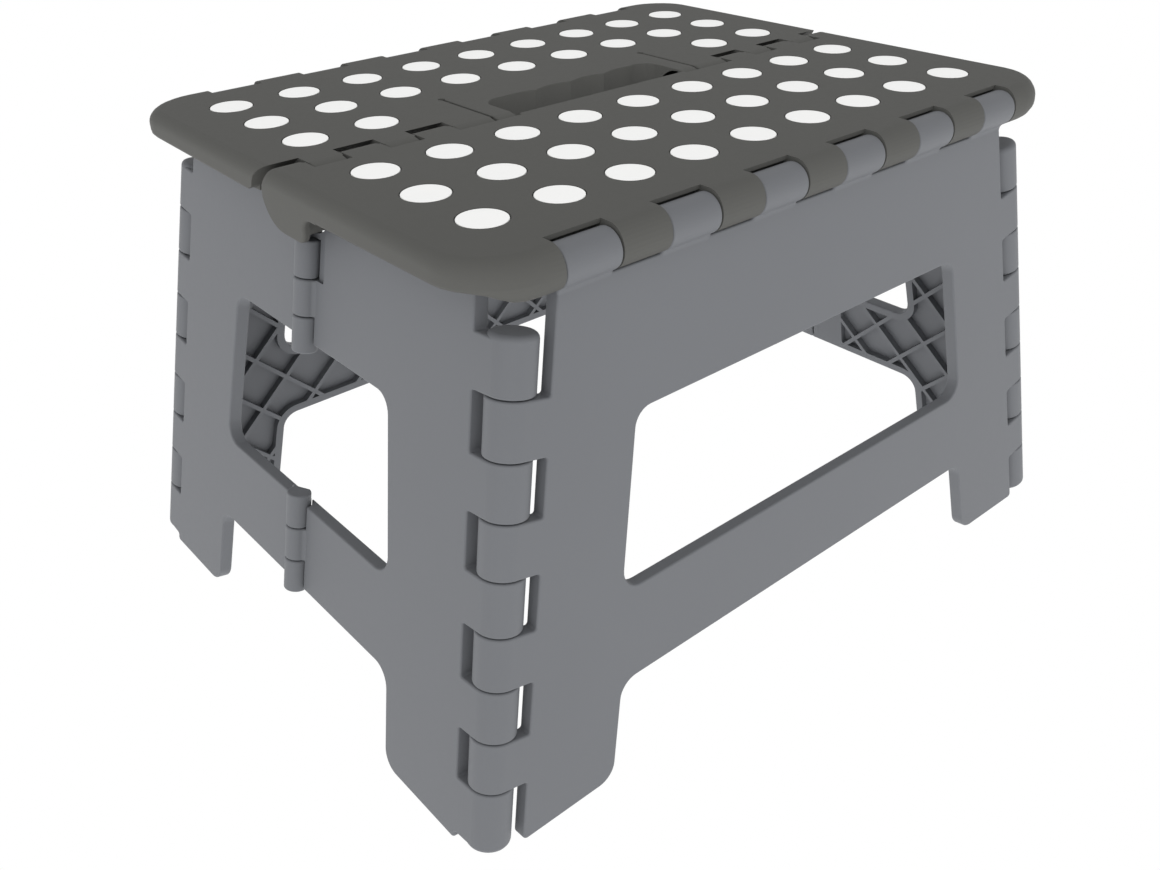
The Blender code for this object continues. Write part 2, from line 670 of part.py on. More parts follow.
def top_half(name, side, own, other, coat, carrier):
    """One half of the deck; own and other are the seam stretches of this half and of its partner."""
    place = Matrix.Translation((0.0, 0.0, HEIGHT))
    half = TOP_LENGTH / 2.0
    front = EDGE_Y + SLAB_LIP
    seam = CENTRE_R
    corners = [(-half, side * front, TOP_CORNER), (half, side * front, TOP_CORNER),
               (half, -side * seam, 0.0), (-half, -side * seam, 0.0)]
    slab = outline_mesh([rounded(corners)], -SLAB_T, 0.0, SLAB_ROUND)
    made = node(name, slab, place, coat, carrier)

    low, high = sorted((0.0, -side * REACH))
    trim = block((-half - REACH, low, -REACH), (half + REACH, high, REACH))
    combine(made, 'DIFFERENCE', tool(name + "_seam", trim, place))

    inner = min(abs(x) for span in own for x in span)
    outer = max(abs(x) for span in own for x in span)
    joined = [rod((low, 0.0, -CENTRE_R), (high, 0.0, -CENTRE_R), CENTRE_R - STEP, SEAM_SIDES)
              for low, high in both_sides([(inner, outer)])]
    tips = [Vector((x, side * EDGE_Y, -EDGE_DEPTH)) for x in (EDGE_R - EDGE_REACH, EDGE_REACH - EDGE_R)]
    joined.append(rod(*tips, EDGE_R - STEP))
    combine(made, 'UNION', tool(name + "_knuckles", gather(joined), place))
    balls = gather([ball(tip, EDGE_R - 2.0 * STEP) for tip in tips])
    combine(made, 'UNION', tool(name + "_balls", balls, place))

    clear, mouths = [], []
    for low, high in other:
        reach = FINGER_GAP - STEP
        clear.append(rod((low - reach, 0.0, -CENTRE_R), (high + reach, 0.0, -CENTRE_R),
                         CENTRE_R + CENTRE_PLAY, SEAM_SIDES))
    for x in edge_centres():
        reach = EDGE_KNUCKLE / 2.0 + AXIAL_GAP / 2.0
        clear.append(rod((x - reach, side * EDGE_Y, -EDGE_DEPTH), (x + reach, side * EDGE_Y, -EDGE_DEPTH),
                         EDGE_R + EDGE_PLAY))
        back, outside = sorted((side * (EDGE_Y - EDGE_BACK), side * (EDGE_Y + REACH)))
        reach += STEP
        mouths.append(block((x - reach, back, SLAB_LIP - EDGE_DEPTH), (x + reach, outside, REACH)))
    combine(made, 'DIFFERENCE', tool(name + "_clear", gather(clear), place))
    combine(made, 'DIFFERENCE', tool(name + "_mouths", gather(mouths), place))
    if side < 0:
        opening = [block((-HANDLE_HALF - FINGER_GAP / 2.0, -HANDLE_FRONT, -REACH),
                         (HANDLE_HALF + FINGER_GAP / 2.0, REACH, REACH))]
    else:
        opening = [outline_mesh([handle_loop()], -REACH, REACH)]
        for x in (-SLIT_X, SLIT_X):
            opening.append(block((x - SLIT_W / 2.0, -REACH, -REACH), (x + SLIT_W / 2.0, SLIT_END, REACH)))
    combine(made, 'DIFFERENCE', tool(name + "_opening", gather(opening), place))

    play = FIT if side < 0 else CENTRE_PLAY
    ends = [(x, side * EDGE_Y, -EDGE_DEPTH) for x in (BLIND - EDGE_REACH, EDGE_REACH - BLIND)]
    bores = [rod(*ends, EDGE_PIN_R + FIT, PIN_SIDES)]
    for low, high in both_sides([(HANDLE_HALF - OVERRUN, half - BLIND)]):
        bores.append(rod((low, 0.0, -CENTRE_R), (high, 0.0, -CENTRE_R), CENTRE_PIN_R + play, PIN_SIDES))
    combine(made, 'DIFFERENCE', tool(name + "_bores", gather(bores), place))
    pockets = gather(row_boxes(side, -SLAB_T - REACH, -SKIN_T, 0.0))
    combine(made, 'DIFFERENCE', tool(name + "_pockets", pockets, place))
    notches = gather(bridge_boxes(side, -SLAB_T - REACH, STEP - SKIN_T, FIT))
    combine(made, 'DIFFERENCE', tool(name + "_notches", notches, place))
    holes = gather(dot_rods(side, -SLAB_T, REACH, DOT_R + FIT))
    combine(made, 'DIFFERENCE', tool(name + "_holes", holes, place))
    return made


def corner_point(sx, sy, depth):
    """Point of a corner axis in the world at a depth below the deck."""
    x = END_FACE + END_SLOPE * depth - CORNER_R / math.cos(END_LEAN)
    y = SIDE_FACE + SIDE_SLOPE * depth - CORNER_R / math.cos(SIDE_LEAN)
    return Vector((sx * x, sy * y, HEIGHT - depth))


def mid_point(sx, depth):
    """Point of an end's middle axis in the world at a depth below the deck."""
    return Vector((sx * (END_FACE + END_SLOPE * depth + MID_OUT / math.cos(END_LEAN)), 0.0, HEIGHT - depth))


def pin(name, first, last, radius, coat, carrier):
    """A plain round pin."""
    return node(name, rod(first, last, radius, PIN_SIDES), Matrix.Identity(4), coat, carrier, smooth=True)


def along(first, way, distance):
    """The point a distance along a direction."""
    return first + way.normalized() * distance


def main():
    """Build the whole stool."""
    start()
    deck = material("deck_plastic", (0.110, 0.110, 0.104), 0.5)
    panel = material("panel_plastic", (0.196, 0.205, 0.219), 0.5)
    grip = material("grip_rubber", (0.92, 0.92, 0.92), 0.7)
    steel = material("pin_steel", (0.55, 0.55, 0.56), 0.35, 1.0)

    edge_z = HEIGHT - EDGE_DEPTH
    carriers = {"side_front": axis_empty("axis_side_front", (0.0, -SIDE_FACE, 0.0))}
    for sx, left in ((-1, "left"), (1, "right")):
        for sy, front in ((-1, "front"), (1, "rear")):
            point = corner_point(sx, sy, HEIGHT / 2.0)
            carriers[f"end_{left}_{front}"] = axis_empty(f"axis_end_{left}_{front}", point)
    carriers["end_left_rear"].location = mid_point(-1, HEIGHT / 2.0)
    carriers["side_rear"] = axis_empty("axis_side_rear", corner_point(-1, 1, HEIGHT / 2.0))
    carriers["top_front"] = axis_empty("axis_top_front", (0.0, -EDGE_Y, edge_z))
    carriers["top_rear"] = axis_empty("axis_top_rear", (0.0, EDGE_Y, edge_z))

    floor = floor_block()
    side_panel("side_panel_front", 0.0, panel, carriers["side_front"], floor)
    side_panel("side_panel_rear", math.pi, panel, carriers["side_rear"], floor)
    left, right = -math.pi / 2.0, math.pi / 2.0
    end_half("end_panel_left_front", left, 1, 1, panel, carriers["end_left_front"], floor)
    end_half("end_panel_left_rear", left, -1, 0, panel, carriers["end_left_rear"], floor)
    end_half("end_panel_right_front", right, -1, 0, panel, carriers["end_right_front"], floor)
    end_half("end_panel_right_rear", right, 1, 1, panel, carriers["end_right_rear"], floor)

    front_seam, rear_seam = both_sides(finger_spans()), both_sides(between_spans())
    top_half("top_panel_front", -1, front_seam, rear_seam, deck, carriers["top_front"])
    top_half("top_panel_rear", 1, rear_seam, front_seam, deck, carriers["top_rear"])
    grip_insert("grip_dots_front", -1, grip, carriers["top_front"])
    grip_insert("grip_dots_rear", 1, grip, carriers["top_rear"])

    reach = EDGE_REACH - BLIND - FIT
    for sy, front in ((-1, "front"), (1, "rear")):
        y = sy * EDGE_Y
        pin(f"top_edge_pin_{front}", (-reach, y, edge_z), (reach, y, edge_z), EDGE_PIN_R, steel,
            carriers[f"side_{front}"])
    low, high = HANDLE_HALF + FINGER_GAP, TOP_LENGTH / 2.0 - BLIND - FIT
    centre_z = HEIGHT - CENTRE_R
    for sx, name in ((-1, "left"), (1, "right")):
        pin(f"centre_pin_{name}", (sx * low, 0.0, centre_z), (sx * high, 0.0, centre_z), CENTRE_PIN_R, steel,
            carriers["top_front"])
    for sx, name in ((-1, "left"), (1, "right")):
        for sy, front in ((-1, "front"), (1, "rear")):
            first = corner_point(sx, sy, 0.0)
            way = corner_point(sx, sy, HEIGHT) - first
            start_at = along(first, way, CORNER_TOP + BLIND + FIT)
            stop_at = along(first, way, CORNER_LENGTH - BLIND)
            pin(f"corner_pin_{name}_{front}", start_at, stop_at, CORNER_PIN_R, steel,
                carriers[f"side_{front}"])
        first = mid_point(sx, 0.0)
        way = mid_point(sx, HEIGHT) - first
        shift = MID_OUT * math.tan(END_LEAN)
        front = "front" if sx < 0 else "rear"
        for top, pitch, level in MID_GROUPS:
            start_at = along(first, way, top + BLIND + FIT + shift)
            stop_at = along(first, way, top + MID_COUNT * pitch - BLIND + shift)
            pin(f"end_pin_{name}_{level}", start_at, stop_at, MID_PIN_R, steel,
                carriers[f"end_{name}_{front}"])


main()
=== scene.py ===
"""Looks of a folding step stool: deck halves, windowed panels, barrel hinges, grip dots and steel pins."""
import json
import math

import bpy
import numpy as np
from mathutils import Euler, Matrix, Vector
from mathutils.geometry import delaunay_2d_cdt


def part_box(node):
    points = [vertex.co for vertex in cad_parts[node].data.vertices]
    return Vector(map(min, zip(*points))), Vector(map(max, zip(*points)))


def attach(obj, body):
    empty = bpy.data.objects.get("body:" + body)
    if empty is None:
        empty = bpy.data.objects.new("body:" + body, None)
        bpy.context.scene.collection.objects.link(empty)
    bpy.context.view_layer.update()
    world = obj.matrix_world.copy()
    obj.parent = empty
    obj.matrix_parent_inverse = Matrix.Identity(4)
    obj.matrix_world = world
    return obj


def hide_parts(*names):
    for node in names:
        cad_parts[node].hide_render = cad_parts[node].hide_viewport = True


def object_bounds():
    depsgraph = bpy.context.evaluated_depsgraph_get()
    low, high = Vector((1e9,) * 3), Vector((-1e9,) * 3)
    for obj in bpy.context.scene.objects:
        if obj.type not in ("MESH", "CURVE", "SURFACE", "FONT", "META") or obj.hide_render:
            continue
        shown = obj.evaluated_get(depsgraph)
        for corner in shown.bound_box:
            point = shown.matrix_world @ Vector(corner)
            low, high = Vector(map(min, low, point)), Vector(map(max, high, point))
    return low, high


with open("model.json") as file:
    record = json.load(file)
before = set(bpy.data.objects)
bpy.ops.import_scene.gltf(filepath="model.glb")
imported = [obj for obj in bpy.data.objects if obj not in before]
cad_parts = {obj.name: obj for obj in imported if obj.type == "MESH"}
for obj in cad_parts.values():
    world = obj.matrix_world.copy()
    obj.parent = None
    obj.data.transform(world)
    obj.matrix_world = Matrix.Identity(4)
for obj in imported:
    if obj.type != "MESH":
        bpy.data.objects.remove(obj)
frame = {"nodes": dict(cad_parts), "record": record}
CAD_LOW, CAD_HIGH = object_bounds()

# Overall form, in metres; depth is measured down from the deck
HEIGHT = CAD_HIGH.z
DECK_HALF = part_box("top_panel_front")[1].x
SLAB_T = 0.011
SKIN_T = 0.004
DECK_CORNER = 0.025
END_RIM = 0.0052
LOW_RIM = 0.0012
EASE_IN = 0.0042
EASE_UP = 0.0026
LATE_DROP = 8.0
FINE_RIM = 0.0008

# Sloping panels: outer face from the centre at deck level, and its spread per depth
SIDE_FACE = 0.1195
SIDE_SLOPE = 0.105
END_FACE = 0.139
END_SLOPE = 0.21
SIDE_LEAN = math.atan(SIDE_SLOPE)
END_LEAN = math.atan(END_SLOPE)
PANEL_T = 0.006
SIDE_TOP = 0.0163
END_TOP = 0.0145

# Windows, rails and feet
WINDOW_TOP = 0.0685
WINDOW_BOTTOM = 0.1385
WINDOW_R = 0.008
SIDE_WINDOW_UPPER = 0.0945
SIDE_WINDOW_LOWER = 0.108
END_WINDOW_UPPER = 0.059
END_WINDOW_LOWER = 0.0675
RAIL_BOTTOM = 0.178
SIDE_FOOT_INNER = 0.112
END_FOOT_INNER = 0.0715
FOOT_R = 0.009
PANEL_CORNER = 0.002
ROOT_R = 0.001

# Crossing ribs of the inner faces
FIELD_BORDER = 0.0045
FIELD_CORNER = 0.006
RIB_PITCH = 0.031
RIB_W = 0.0022
RIB_SKIN = 0.0025

# Hinge between deck and sides
EDGE_Y = SIDE_FACE
EDGE_R = 0.0073
EDGE_DEPTH = 0.0085
EDGE_PLAY = 0.0008
EDGE_BACK = 0.0042
EDGE_PITCH = 0.045
EDGE_KNUCKLE = 0.0234
EDGE_COUNT = 6
EDGE_FILLET = 0.003

# Centre hinge of the deck, finger opening and slits
CENTRE_R = 0.013
CENTRE_PLAY = 0.0017
FINGER_FIRST = 0.078
FINGER_PITCH = 0.032
FINGER_W = 0.016
FINGER_COUNT = 3
FINGER_GAP = 0.001
HANDLE_HALF = 0.048
HANDLE_REAR = 0.0205
HANDLE_R = 0.0085
HANDLE_FRONT = 0.0045
SCALLOP_DEEP = 0.0022
SCALLOP_COUNT = 4
SLIT_X = 0.058
SLIT_W = 0.0012
SLIT_END = 0.035
SLIT_HOLE = 0.0016

# Hinge ears at the front half's ends
EAR_T = 0.0025
EAR_INNER = 0.1525
EAR_BACK = 0.0071
EAR_FRONT = 0.0228
EAR_TAIL = 0.033
EAR_DEPTH = 0.0215
EAR_TOP_R = 0.006
EAR_BACK_R = 0.0135
EAR_FRONT_R = 0.0055
EAR_FILLET = 0.005
BEVEL_DEPTH = 0.0082
BEVEL_LONG = 0.021

# Corner hinges
CORNER_R = 0.0085
SIDE_SLOT = 0.0016
END_SLOT = 0.0012
CORNER_TOP = 0.0285
CORNER_FOOT = 0.001
CORNER_TAIL = 0.005
CORNER_COUNT = 9
CORNER_ROUND = 0.0022
CORNER_LENGTH = (HEIGHT - CORNER_FOOT) * math.hypot(1.0, SIDE_SLOPE, END_SLOPE)
CORNER_PITCH = (CORNER_LENGTH - CORNER_TOP - CORNER_TAIL) / CORNER_COUNT

# Middle hinges of the ends
MID_R = 0.005
MID_OUT = 0.0005
MID_PLAY = 0.001
MID_GAP = 0.0004
MID_FILLET = 0.002
MID_UPPER = 0.0279 / math.cos(END_LEAN)
MID_LOWER = 0.1365
MID_PITCHES = ((MID_UPPER, 0.0152), (MID_LOWER, 0.0157))
MID_COUNT = 3
MID_NOTCH = 0.017
MID_NOTCH_R = 0.0132
MID_SEAT = 0.0115
MID_SEAT_DEEP = 0.0015

# Grip dots and the mat under the skin
DOT_R = 0.0088
DOT_GROOVE = 0.0004
DOT_SINK = 0.0015
DOT_RIM = 0.0003
DOT_PITCH = 0.032
DOT_FIRST_ROW = 0.0255
DOT_ROWS = 3
DOT_COLUMNS = 9
DOT_HANDLE_CLEAR = 0.090
MAT_T = 0.0015
MAT_FIT = 0.0003
POCKET_NEAR = 0.0157
POCKET_FAR = 0.1072
POCKET_R = 0.004
ROW_RIB = 0.002
SKIRT_T = 0.005
HANDLE_WALL = 0.016

# Fineness of the meshes
AXIAL_GAP = 0.0004
ARC_STEPS = 8
RIM_STEPS = 4
ROUND_STEPS = 64
WELD = 1e-7
CUT_RIM = 10.0 * WELD
LEAST_LENGTH = 1e-12
LEAST_MITRE = 0.2
SHARP = math.radians(35.0)
PIN_EASE = 0.2
OFF_AXIS = (0.3, 0.5, 0.8)
FLIP = np.diag([-1.0, 1.0, 1.0, 1.0])

# Finishes: linear colours, roughness, strength of the mirror part, and noise features per metre
DECK_COLOUR = (0.086, 0.086, 0.081)
DECK_ROUGH = 0.62
DECK_SHEEN = 0.08
PANEL_COLOUR = (0.128, 0.133, 0.143)
PANEL_ROUGH = 0.55
PANEL_SHEEN = 0.2
GRIP_COLOUR = (0.93, 0.93, 0.92)
GRIP_ROUGH = 0.62
STEEL_COLOUR = (0.55, 0.55, 0.56)
STEEL_ROUGH = 0.26
DRIFT_SCALE = 14.0
DUST_SCALE = 60.0
PORE_SCALE = 420.0
FINE_SCALE = 900.0
GRAIN_SCALE = 1500.0
GRAIN_HEIGHT = 0.0002
LINE_HEIGHT = 0.0001

# Studio and camera, in metres, watts and degrees
WHITE = (1.0, 1.0, 1.0, 1.0)
SKY_STRENGTH = 0.85
FLOOR_REACH = 6.0
FLOOR_TONE = (0.1, 0.1, 0.1, 1.0)
FLOOR_ROUGH = 0.9
FLOOR_GLOW = 1.45
LAMP_SIZE = 1.6
KEY_PLACE = (-1.6, -1.2, 1.1)
KEY_POWER = 11.0
FILL_PLACE = (0.5, -1.9, 1.1)
FILL_POWER = 4.0
SENSOR_WIDTH = 36.0
LENS = 34.28
NEAR_CLIP = 0.01
EYE_PLACE = (-0.32018, -0.36513, HEIGHT + 0.12749)
EYE_TURN = (57.9135, 1.1572, -40.6322)


def unit(vectors):
    """Vectors divided by their lengths."""
    return vectors / np.maximum(np.linalg.norm(vectors, axis=-1, keepdims=True), LEAST_LENGTH)


def outline(corners):
    """Closed loop through corners (x, y, radius), each an arc that touches its two sides.

    With u and v the unit vectors to the two neighbours and h half the angle between them, the arc's centre is
    corner + unit(u + v) radius / sin h, and the arc starts radius / tan h along u.
    """
    table = np.array(corners, float)
    point, radius = table[:, :2], table[:, 2:]
    u = unit(np.roll(point, 1, 0) - point)
    v = unit(np.roll(point, -1, 0) - point)
    half = np.arccos(np.clip((u * v).sum(1, keepdims=True), -1.0, 1.0)) / 2.0
    centre = point + unit(u + v) * radius / np.sin(half)
    arm = point + u * radius / np.tan(half) - centre
    sense = np.sign(u[:, 1:] * v[:, :1] - u[:, :1] * v[:, 1:])
    turn = sense * (np.pi - 2.0 * half) * np.linspace(0.0, 1.0, ARC_STEPS + 1)
    x = centre[:, :1] + arm[:, :1] * np.cos(turn) - arm[:, 1:] * np.sin(turn)
    y = centre[:, 1:] + arm[:, :1] * np.sin(turn) + arm[:, 1:] * np.cos(turn)
    loop = np.stack([x, y], -1).reshape(-1, 2)
    apart = np.linalg.norm(loop - np.roll(loop, 1, 0), axis=1) > WELD
    return loop[apart]


def circle(radius, x=0.0, y=0.0):
    """Points (x + radius cos a, y + radius sin a) for a full turn of a."""
    turn = np.linspace(0.0, 2.0 * np.pi, ROUND_STEPS, endpoint=False)
    return np.column_stack([x + radius * np.cos(turn), y + radius * np.sin(turn)])


def filleted(radius, height, fillet):
    """Round bar lying on the line y = 0, its centre at the given height, with a hollow fillet on its +x side.

    The fillet's centre is at (reach, fillet), where reach^2 = (radius + fillet)^2 - (height - fillet)^2, so
    that it touches both the bar and the line. Below the line the profile closes inside the plate.
    """
    reach = math.sqrt((radius + fillet) ** 2 - (height - fillet) ** 2)
    lift = math.atan2(fillet - height, reach)
    hollow = np.linspace(-np.pi / 2.0, lift - np.pi, ARC_STEPS + 1)
    toe = np.column_stack([reach + fillet * np.cos(hollow), fillet + fillet * np.sin(hollow)])
    bar = np.linspace(lift, 1.5 * np.pi, ROUND_STEPS)[1:]
    back = np.column_stack([radius * np.cos(bar), height + radius * np.sin(bar)])
    return np.concatenate([toe, back])


def inset(loop, by):
    """Loop moved to its left: each point goes along the bisector of its two side normals."""
    way = unit(np.roll(loop, -1, 0) - loop)
    after = np.column_stack([-way[:, 1], way[:, 0]])
    before = np.roll(after, 1, 0)
    mitre = (before + after) / np.maximum(1.0 + (before * after).sum(1, keepdims=True), LEAST_MITRE)
    return loop + np.reshape(by, (-1, 1)) * mitre


def within(points, loops):
    """Whether each point lies inside the loops: a ray along +x crosses their sides an odd number of times."""
    first = np.concatenate(loops)
    last = np.concatenate([np.roll(loop, -1, 0) for loop in loops])
    level = points[:, 1:]
    crosses = (first[:, 1] > level) != (last[:, 1] > level)
    rise = last[:, 1] - first[:, 1]
    slope = (last[:, 0] - first[:, 0]) / np.where(rise == 0.0, 1.0, rise)
    hits = crosses & (points[:, :1] < first[:, 0] + (level - first[:, 1]) * slope)
    return hits.sum(1) % 2 == 1


def sides_of(loops):
    """Points of several loops with the pairs of numbers that join them."""
    starts = np.cumsum([0] + [len(loop) for loop in loops[:-1]])
    pairs = [np.column_stack([np.arange(len(loop)), np.roll(np.arange(len(loop)), -1)]) + start
             for loop, start in zip(loops, starts)]
    return np.concatenate(loops), np.concatenate(pairs)


def triangulate(loops, marks=None):
    """Points and triangles of the area inside the loops, with the sides of the marks kept as edges."""
    points, pairs = sides_of(loops)
    if marks is not None:
        pairs = np.concatenate([pairs, marks[1] + len(points)])
        points = np.concatenate([points, marks[0]])
    found = delaunay_2d_cdt([Vector(point) for point in points], pairs.tolist(), [], 0, WELD)
    flat = np.array([point[:] for point in found[0]])
    source = np.array([given[0] if given else -1 for given in found[3]])
    flat[source >= 0] = points[source[source >= 0]]
    triangles = np.array(found[2])
    a, b, c = (flat[triangles[:, i]] for i in range(3))
    area = (b[:, 0] - a[:, 0]) * (c[:, 1] - a[:, 1]) - (b[:, 1] - a[:, 1]) * (c[:, 0] - a[:, 0])
    triangles[area < 0.0] = triangles[area < 0.0][:, ::-1]
    kept = within(flat[triangles].mean(1), loops) & (np.abs(area) > 0.0)
    return flat, triangles[kept]


def sweep(loop, insets, heights):
    """Profile carried along a loop: ring k lies insets[k] inside the loop at heights[k]."""
    count = len(loop)
    rings = [np.column_stack([inset(loop, np.broadcast_to(by, count)), np.broadcast_to(high, count)])
             for by, high in zip(insets, heights)]
    here = np.arange(count)
    there = np.roll(here, -1)
    row = np.arange(len(rings) - 1)[:, None] * count
    one = np.stack([row + here, row + count + here, row + count + there], -1).reshape(-1, 3)
    two = np.stack([row + here, row + count + there, row + there], -1).reshape(-1, 3)
    return np.concatenate(rings), np.concatenate([one, two])


def face(loops, height, upward, cells=None):
    """Flat face inside the loops. Cells (marks, test, depth) are sunk into it, with upright walls."""
    flat, triangles = triangulate(loops, cells[0] if cells else None)
    if not upward:
        triangles = triangles[:, ::-1]
    points = np.column_stack([flat, np.full(len(flat), height)])
    if cells is None:
        return points, triangles
    count = len(points)
    sunk = cells[1](flat[triangles].mean(1))
    floor = points - np.array([0.0, 0.0, cells[2] if upward else -cells[2]])
    raised = triangles[~sunk][:, [[0, 1], [1, 2], [2, 0]]].reshape(-1, 2)
    lowered = triangles[sunk][:, [[1, 0], [2, 1], [0, 2]]].reshape(-1, 2)
    edges = raised[np.isin(raised @ [count, 1], lowered @ [count, 1])]
    a, b = edges[:, 0], edges[:, 1]
    walls = np.concatenate([np.column_stack([b, a, a + count]), np.column_stack([b, a + count, b + count])])
    return np.concatenate([points, floor]), np.concatenate([triangles[~sunk], triangles[sunk] + count, walls])


def join(shells):
    """Several shells as one list of points and triangles."""
    starts = np.cumsum([0] + [len(points) for points, _ in shells[:-1]])
    return (np.concatenate([points for points, _ in shells]),
            np.concatenate([triangles + start for (_, triangles), start in zip(shells, starts)]))


def weld(shells):
    """One closed shell: equal points become one, and triangles that have shrunk to a line go."""
    points, triangles = join(shells)
    _, first, back = np.unique(np.round(points / WELD).astype(np.int64), axis=0, return_index=True,
                               return_inverse=True)
    triangles = back.reshape(-1)[triangles]
    full = (triangles != np.roll(triangles, 1, 1)).all(1)
    used, numbers = np.unique(triangles[full], return_inverse=True)
    return points[first][used], numbers.reshape(-1, 3)


def mould(loops, low, high, rim, rim_low=None, over=None, under=None):
    """Plate between two heights with quarter-round rims.

    At angle a the rim lies rim (1 - sin a) inside the outline and rim (1 - cos a) from the face.
    """
    rim_low = rim if rim_low is None else rim_low
    turn = np.linspace(0.0, np.pi / 2.0, RIM_STEPS + 1)
    insets = np.concatenate([rim * (1.0 - np.sin(turn)), rim_low * (1.0 - np.sin(turn[::-1]))])
    heights = np.concatenate([high - rim * (1.0 - np.cos(turn)), low + rim_low * (1.0 - np.cos(turn[::-1]))])
    shells = [sweep(loop, insets, heights) for loop in loops]
    for end, upward, cells in ((0, True, over), (-1, False, under)):
        edges = [inset(loop, np.full(len(loop), insets[end])) for loop in loops]
        shells.append(face(edges, heights[end], upward, cells))
    return weld(shells)


def moved(shell, matrix):
    """Shell carried by a 4 x 4 matrix, turned right side out if the matrix mirrors it."""
    points, triangles = shell
    matrix = np.array(matrix, float)
    if np.linalg.det(matrix[:3, :3]) < 0.0:
        triangles = triangles[:, ::-1]
    return points @ matrix[:3, :3].T + matrix[:3, 3], triangles


def basis(x, y, z, origin=(0.0, 0.0, 0.0)):
    """Matrix whose columns are the three axes and the origin."""
    matrix = np.eye(4)
    matrix[:3, :4] = np.column_stack([x, y, z, origin])
    return matrix


def scratch(shell):
    """A mesh object for one step of the work."""
    mesh = bpy.data.meshes.new("scratch")
    mesh.from_pydata(shell[0].tolist(), [], shell[1].tolist())
    made = bpy.data.objects.new("scratch", mesh)
    bpy.context.scene.collection.objects.link(made)
    return made


def cut(shell, blades):
    """Shell less the blades, as points and triangles."""
    blank, blade = scratch(shell), scratch(join(blades))
    step = blank.modifiers.new("cut", 'BOOLEAN')
    step.operation = 'DIFFERENCE'
    step.solver = 'EXACT'
    step.object = blade
    graph = bpy.context.evaluated_depsgraph_get()
    mesh = bpy.data.meshes.new_from_object(blank.evaluated_get(graph))
    mesh.calc_loop_triangles()
    points = np.empty(len(mesh.vertices) * 3)
    mesh.vertices.foreach_get("co", points)
    triangles = np.empty(len(mesh.loop_triangles) * 3, np.int32)
    mesh.loop_triangles.foreach_get("vertices", triangles)
    for made in (blank, blade):
        old = made.data
        bpy.data.objects.remove(made)
        bpy.data.meshes.remove(old)
    bpy.data.meshes.remove(mesh)
    return points.reshape(-1, 3), triangles.reshape(-1, 3)


def piece(name, shells, body, nodes, finish):
    """A finished piece that stands for CAD nodes and rides on their body."""
    points, triangles = join(shells)
    mesh = bpy.data.meshes.new(name)
    mesh.from_pydata(points.tolist(), [], triangles.tolist())
    mesh.shade_smooth()
    mesh.set_sharp_from_angle(angle=SHARP)
    mesh.materials.append(finish)
    made = bpy.data.objects.new(name, mesh)
    bpy.context.scene.collection.objects.link(made)
    even = made.modifiers.new("even normals", 'WEIGHTED_NORMAL')
    even.keep_sharp = True
    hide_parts(*nodes)
    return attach(made, body)


class Value:
    """A shader socket that takes arithmetic: each operator adds one Math node."""

    def __init__(self, graph, socket):
        self.graph = graph
        self.socket = socket

    def math(self, operation, first, second):
        made = self.graph.node('ShaderNodeMath', {"operation": operation}, {0: first, 1: second})
        return Value(self.graph, made.outputs[0])

    def __add__(self, other):
        return self.math('ADD', self, other)

    def __radd__(self, other):
        return self.math('ADD', other, self)

    def __sub__(self, other):
        return self.math('SUBTRACT', self, other)

    def __mul__(self, other):
        return self.math('MULTIPLY', self, other)

    def __rmul__(self, other):
        return self.math('MULTIPLY', other, self)


class Finish:
    """A material's node tree, with one method that adds any node."""

    def __init__(self, name):
        self.material = bpy.data.materials.new(name)
        self.material.use_nodes = True
        self.tree = self.material.node_tree
        self.shader = self.tree.nodes["Principled BSDF"]
        self.place = self.node('ShaderNodeTexCoord').outputs["Object"]

    def node(self, kind, settings=None, sockets=None):
        """A node with its settings, then the values or links of its sockets."""
        made = self.tree.nodes.new(kind)
        for key, value in (settings or {}).items():
            setattr(made, key, value)
        for key, value in (sockets or {}).items():
            self.feed(made.inputs[key], value)
        return made

    def feed(self, socket, value):
        """Set a socket to a number or colour, or link it."""
        if isinstance(value, Value):
            value = value.socket
        if isinstance(value, bpy.types.NodeSocket):
            self.tree.links.new(value, socket)
        else:
            socket.default_value = value

    def noise(self, scale, detail, roughness=0.5):
        """Noise from 0 to 1 with features 1 / scale metres wide."""
        made = self.node('ShaderNodeTexNoise', None,
                         {"Vector": self.place, "Scale": scale, "Detail": detail, "Roughness": roughness})
        return Value(self, made.outputs["Fac"])

    def blend(self, share, first, second):
        """Colour between two colours."""
        made = self.node('ShaderNodeMix', {"data_type": 'RGBA'}, {0: share, 6: first, 7: second})
        return made.outputs[2]

    def bump(self, height, strength, distance):
        """Feed the normal with a bump."""
        made = self.node('ShaderNodeBump', None,
                         {"Height": height, "Strength": strength, "Distance": distance})
        self.feed(self.shader.inputs["Normal"], made.outputs["Normal"])

    def surface(self, **sockets):
        """Feed the main shader's sockets, named with underscores for spaces."""
        for key, value in sockets.items():
            self.feed(self.shader.inputs[key.replace("_", " ").title()], value)


def shade(colour, share):
    """Colour times a share, with full alpha."""
    return tuple(channel * share for channel in colour) + (1.0,)


def plastic(name, colour, rough, sheen):
    """Injection-moulded plastic: slow tone drift, a fine spark-eroded grain and faint flow marks."""
    finish = Finish(name)
    drift = finish.noise(DRIFT_SCALE, 3.0)
    grain = finish.noise(GRAIN_SCALE, 2.0, 0.6)
    pores = finish.noise(PORE_SCALE, 3.0, 0.6)
    share = 0.7 * drift + 0.3 * pores
    finish.surface(base_color=finish.blend(share, shade(colour, 0.94), shade(colour, 1.06)))
    finish.surface(roughness=rough + 0.12 * pores - 0.06 + 0.06 * drift)
    finish.bump(grain + 0.6 * pores, 0.12, GRAIN_HEIGHT)
    finish.shader.inputs["Specular IOR Level"].default_value = sheen
    return finish.material


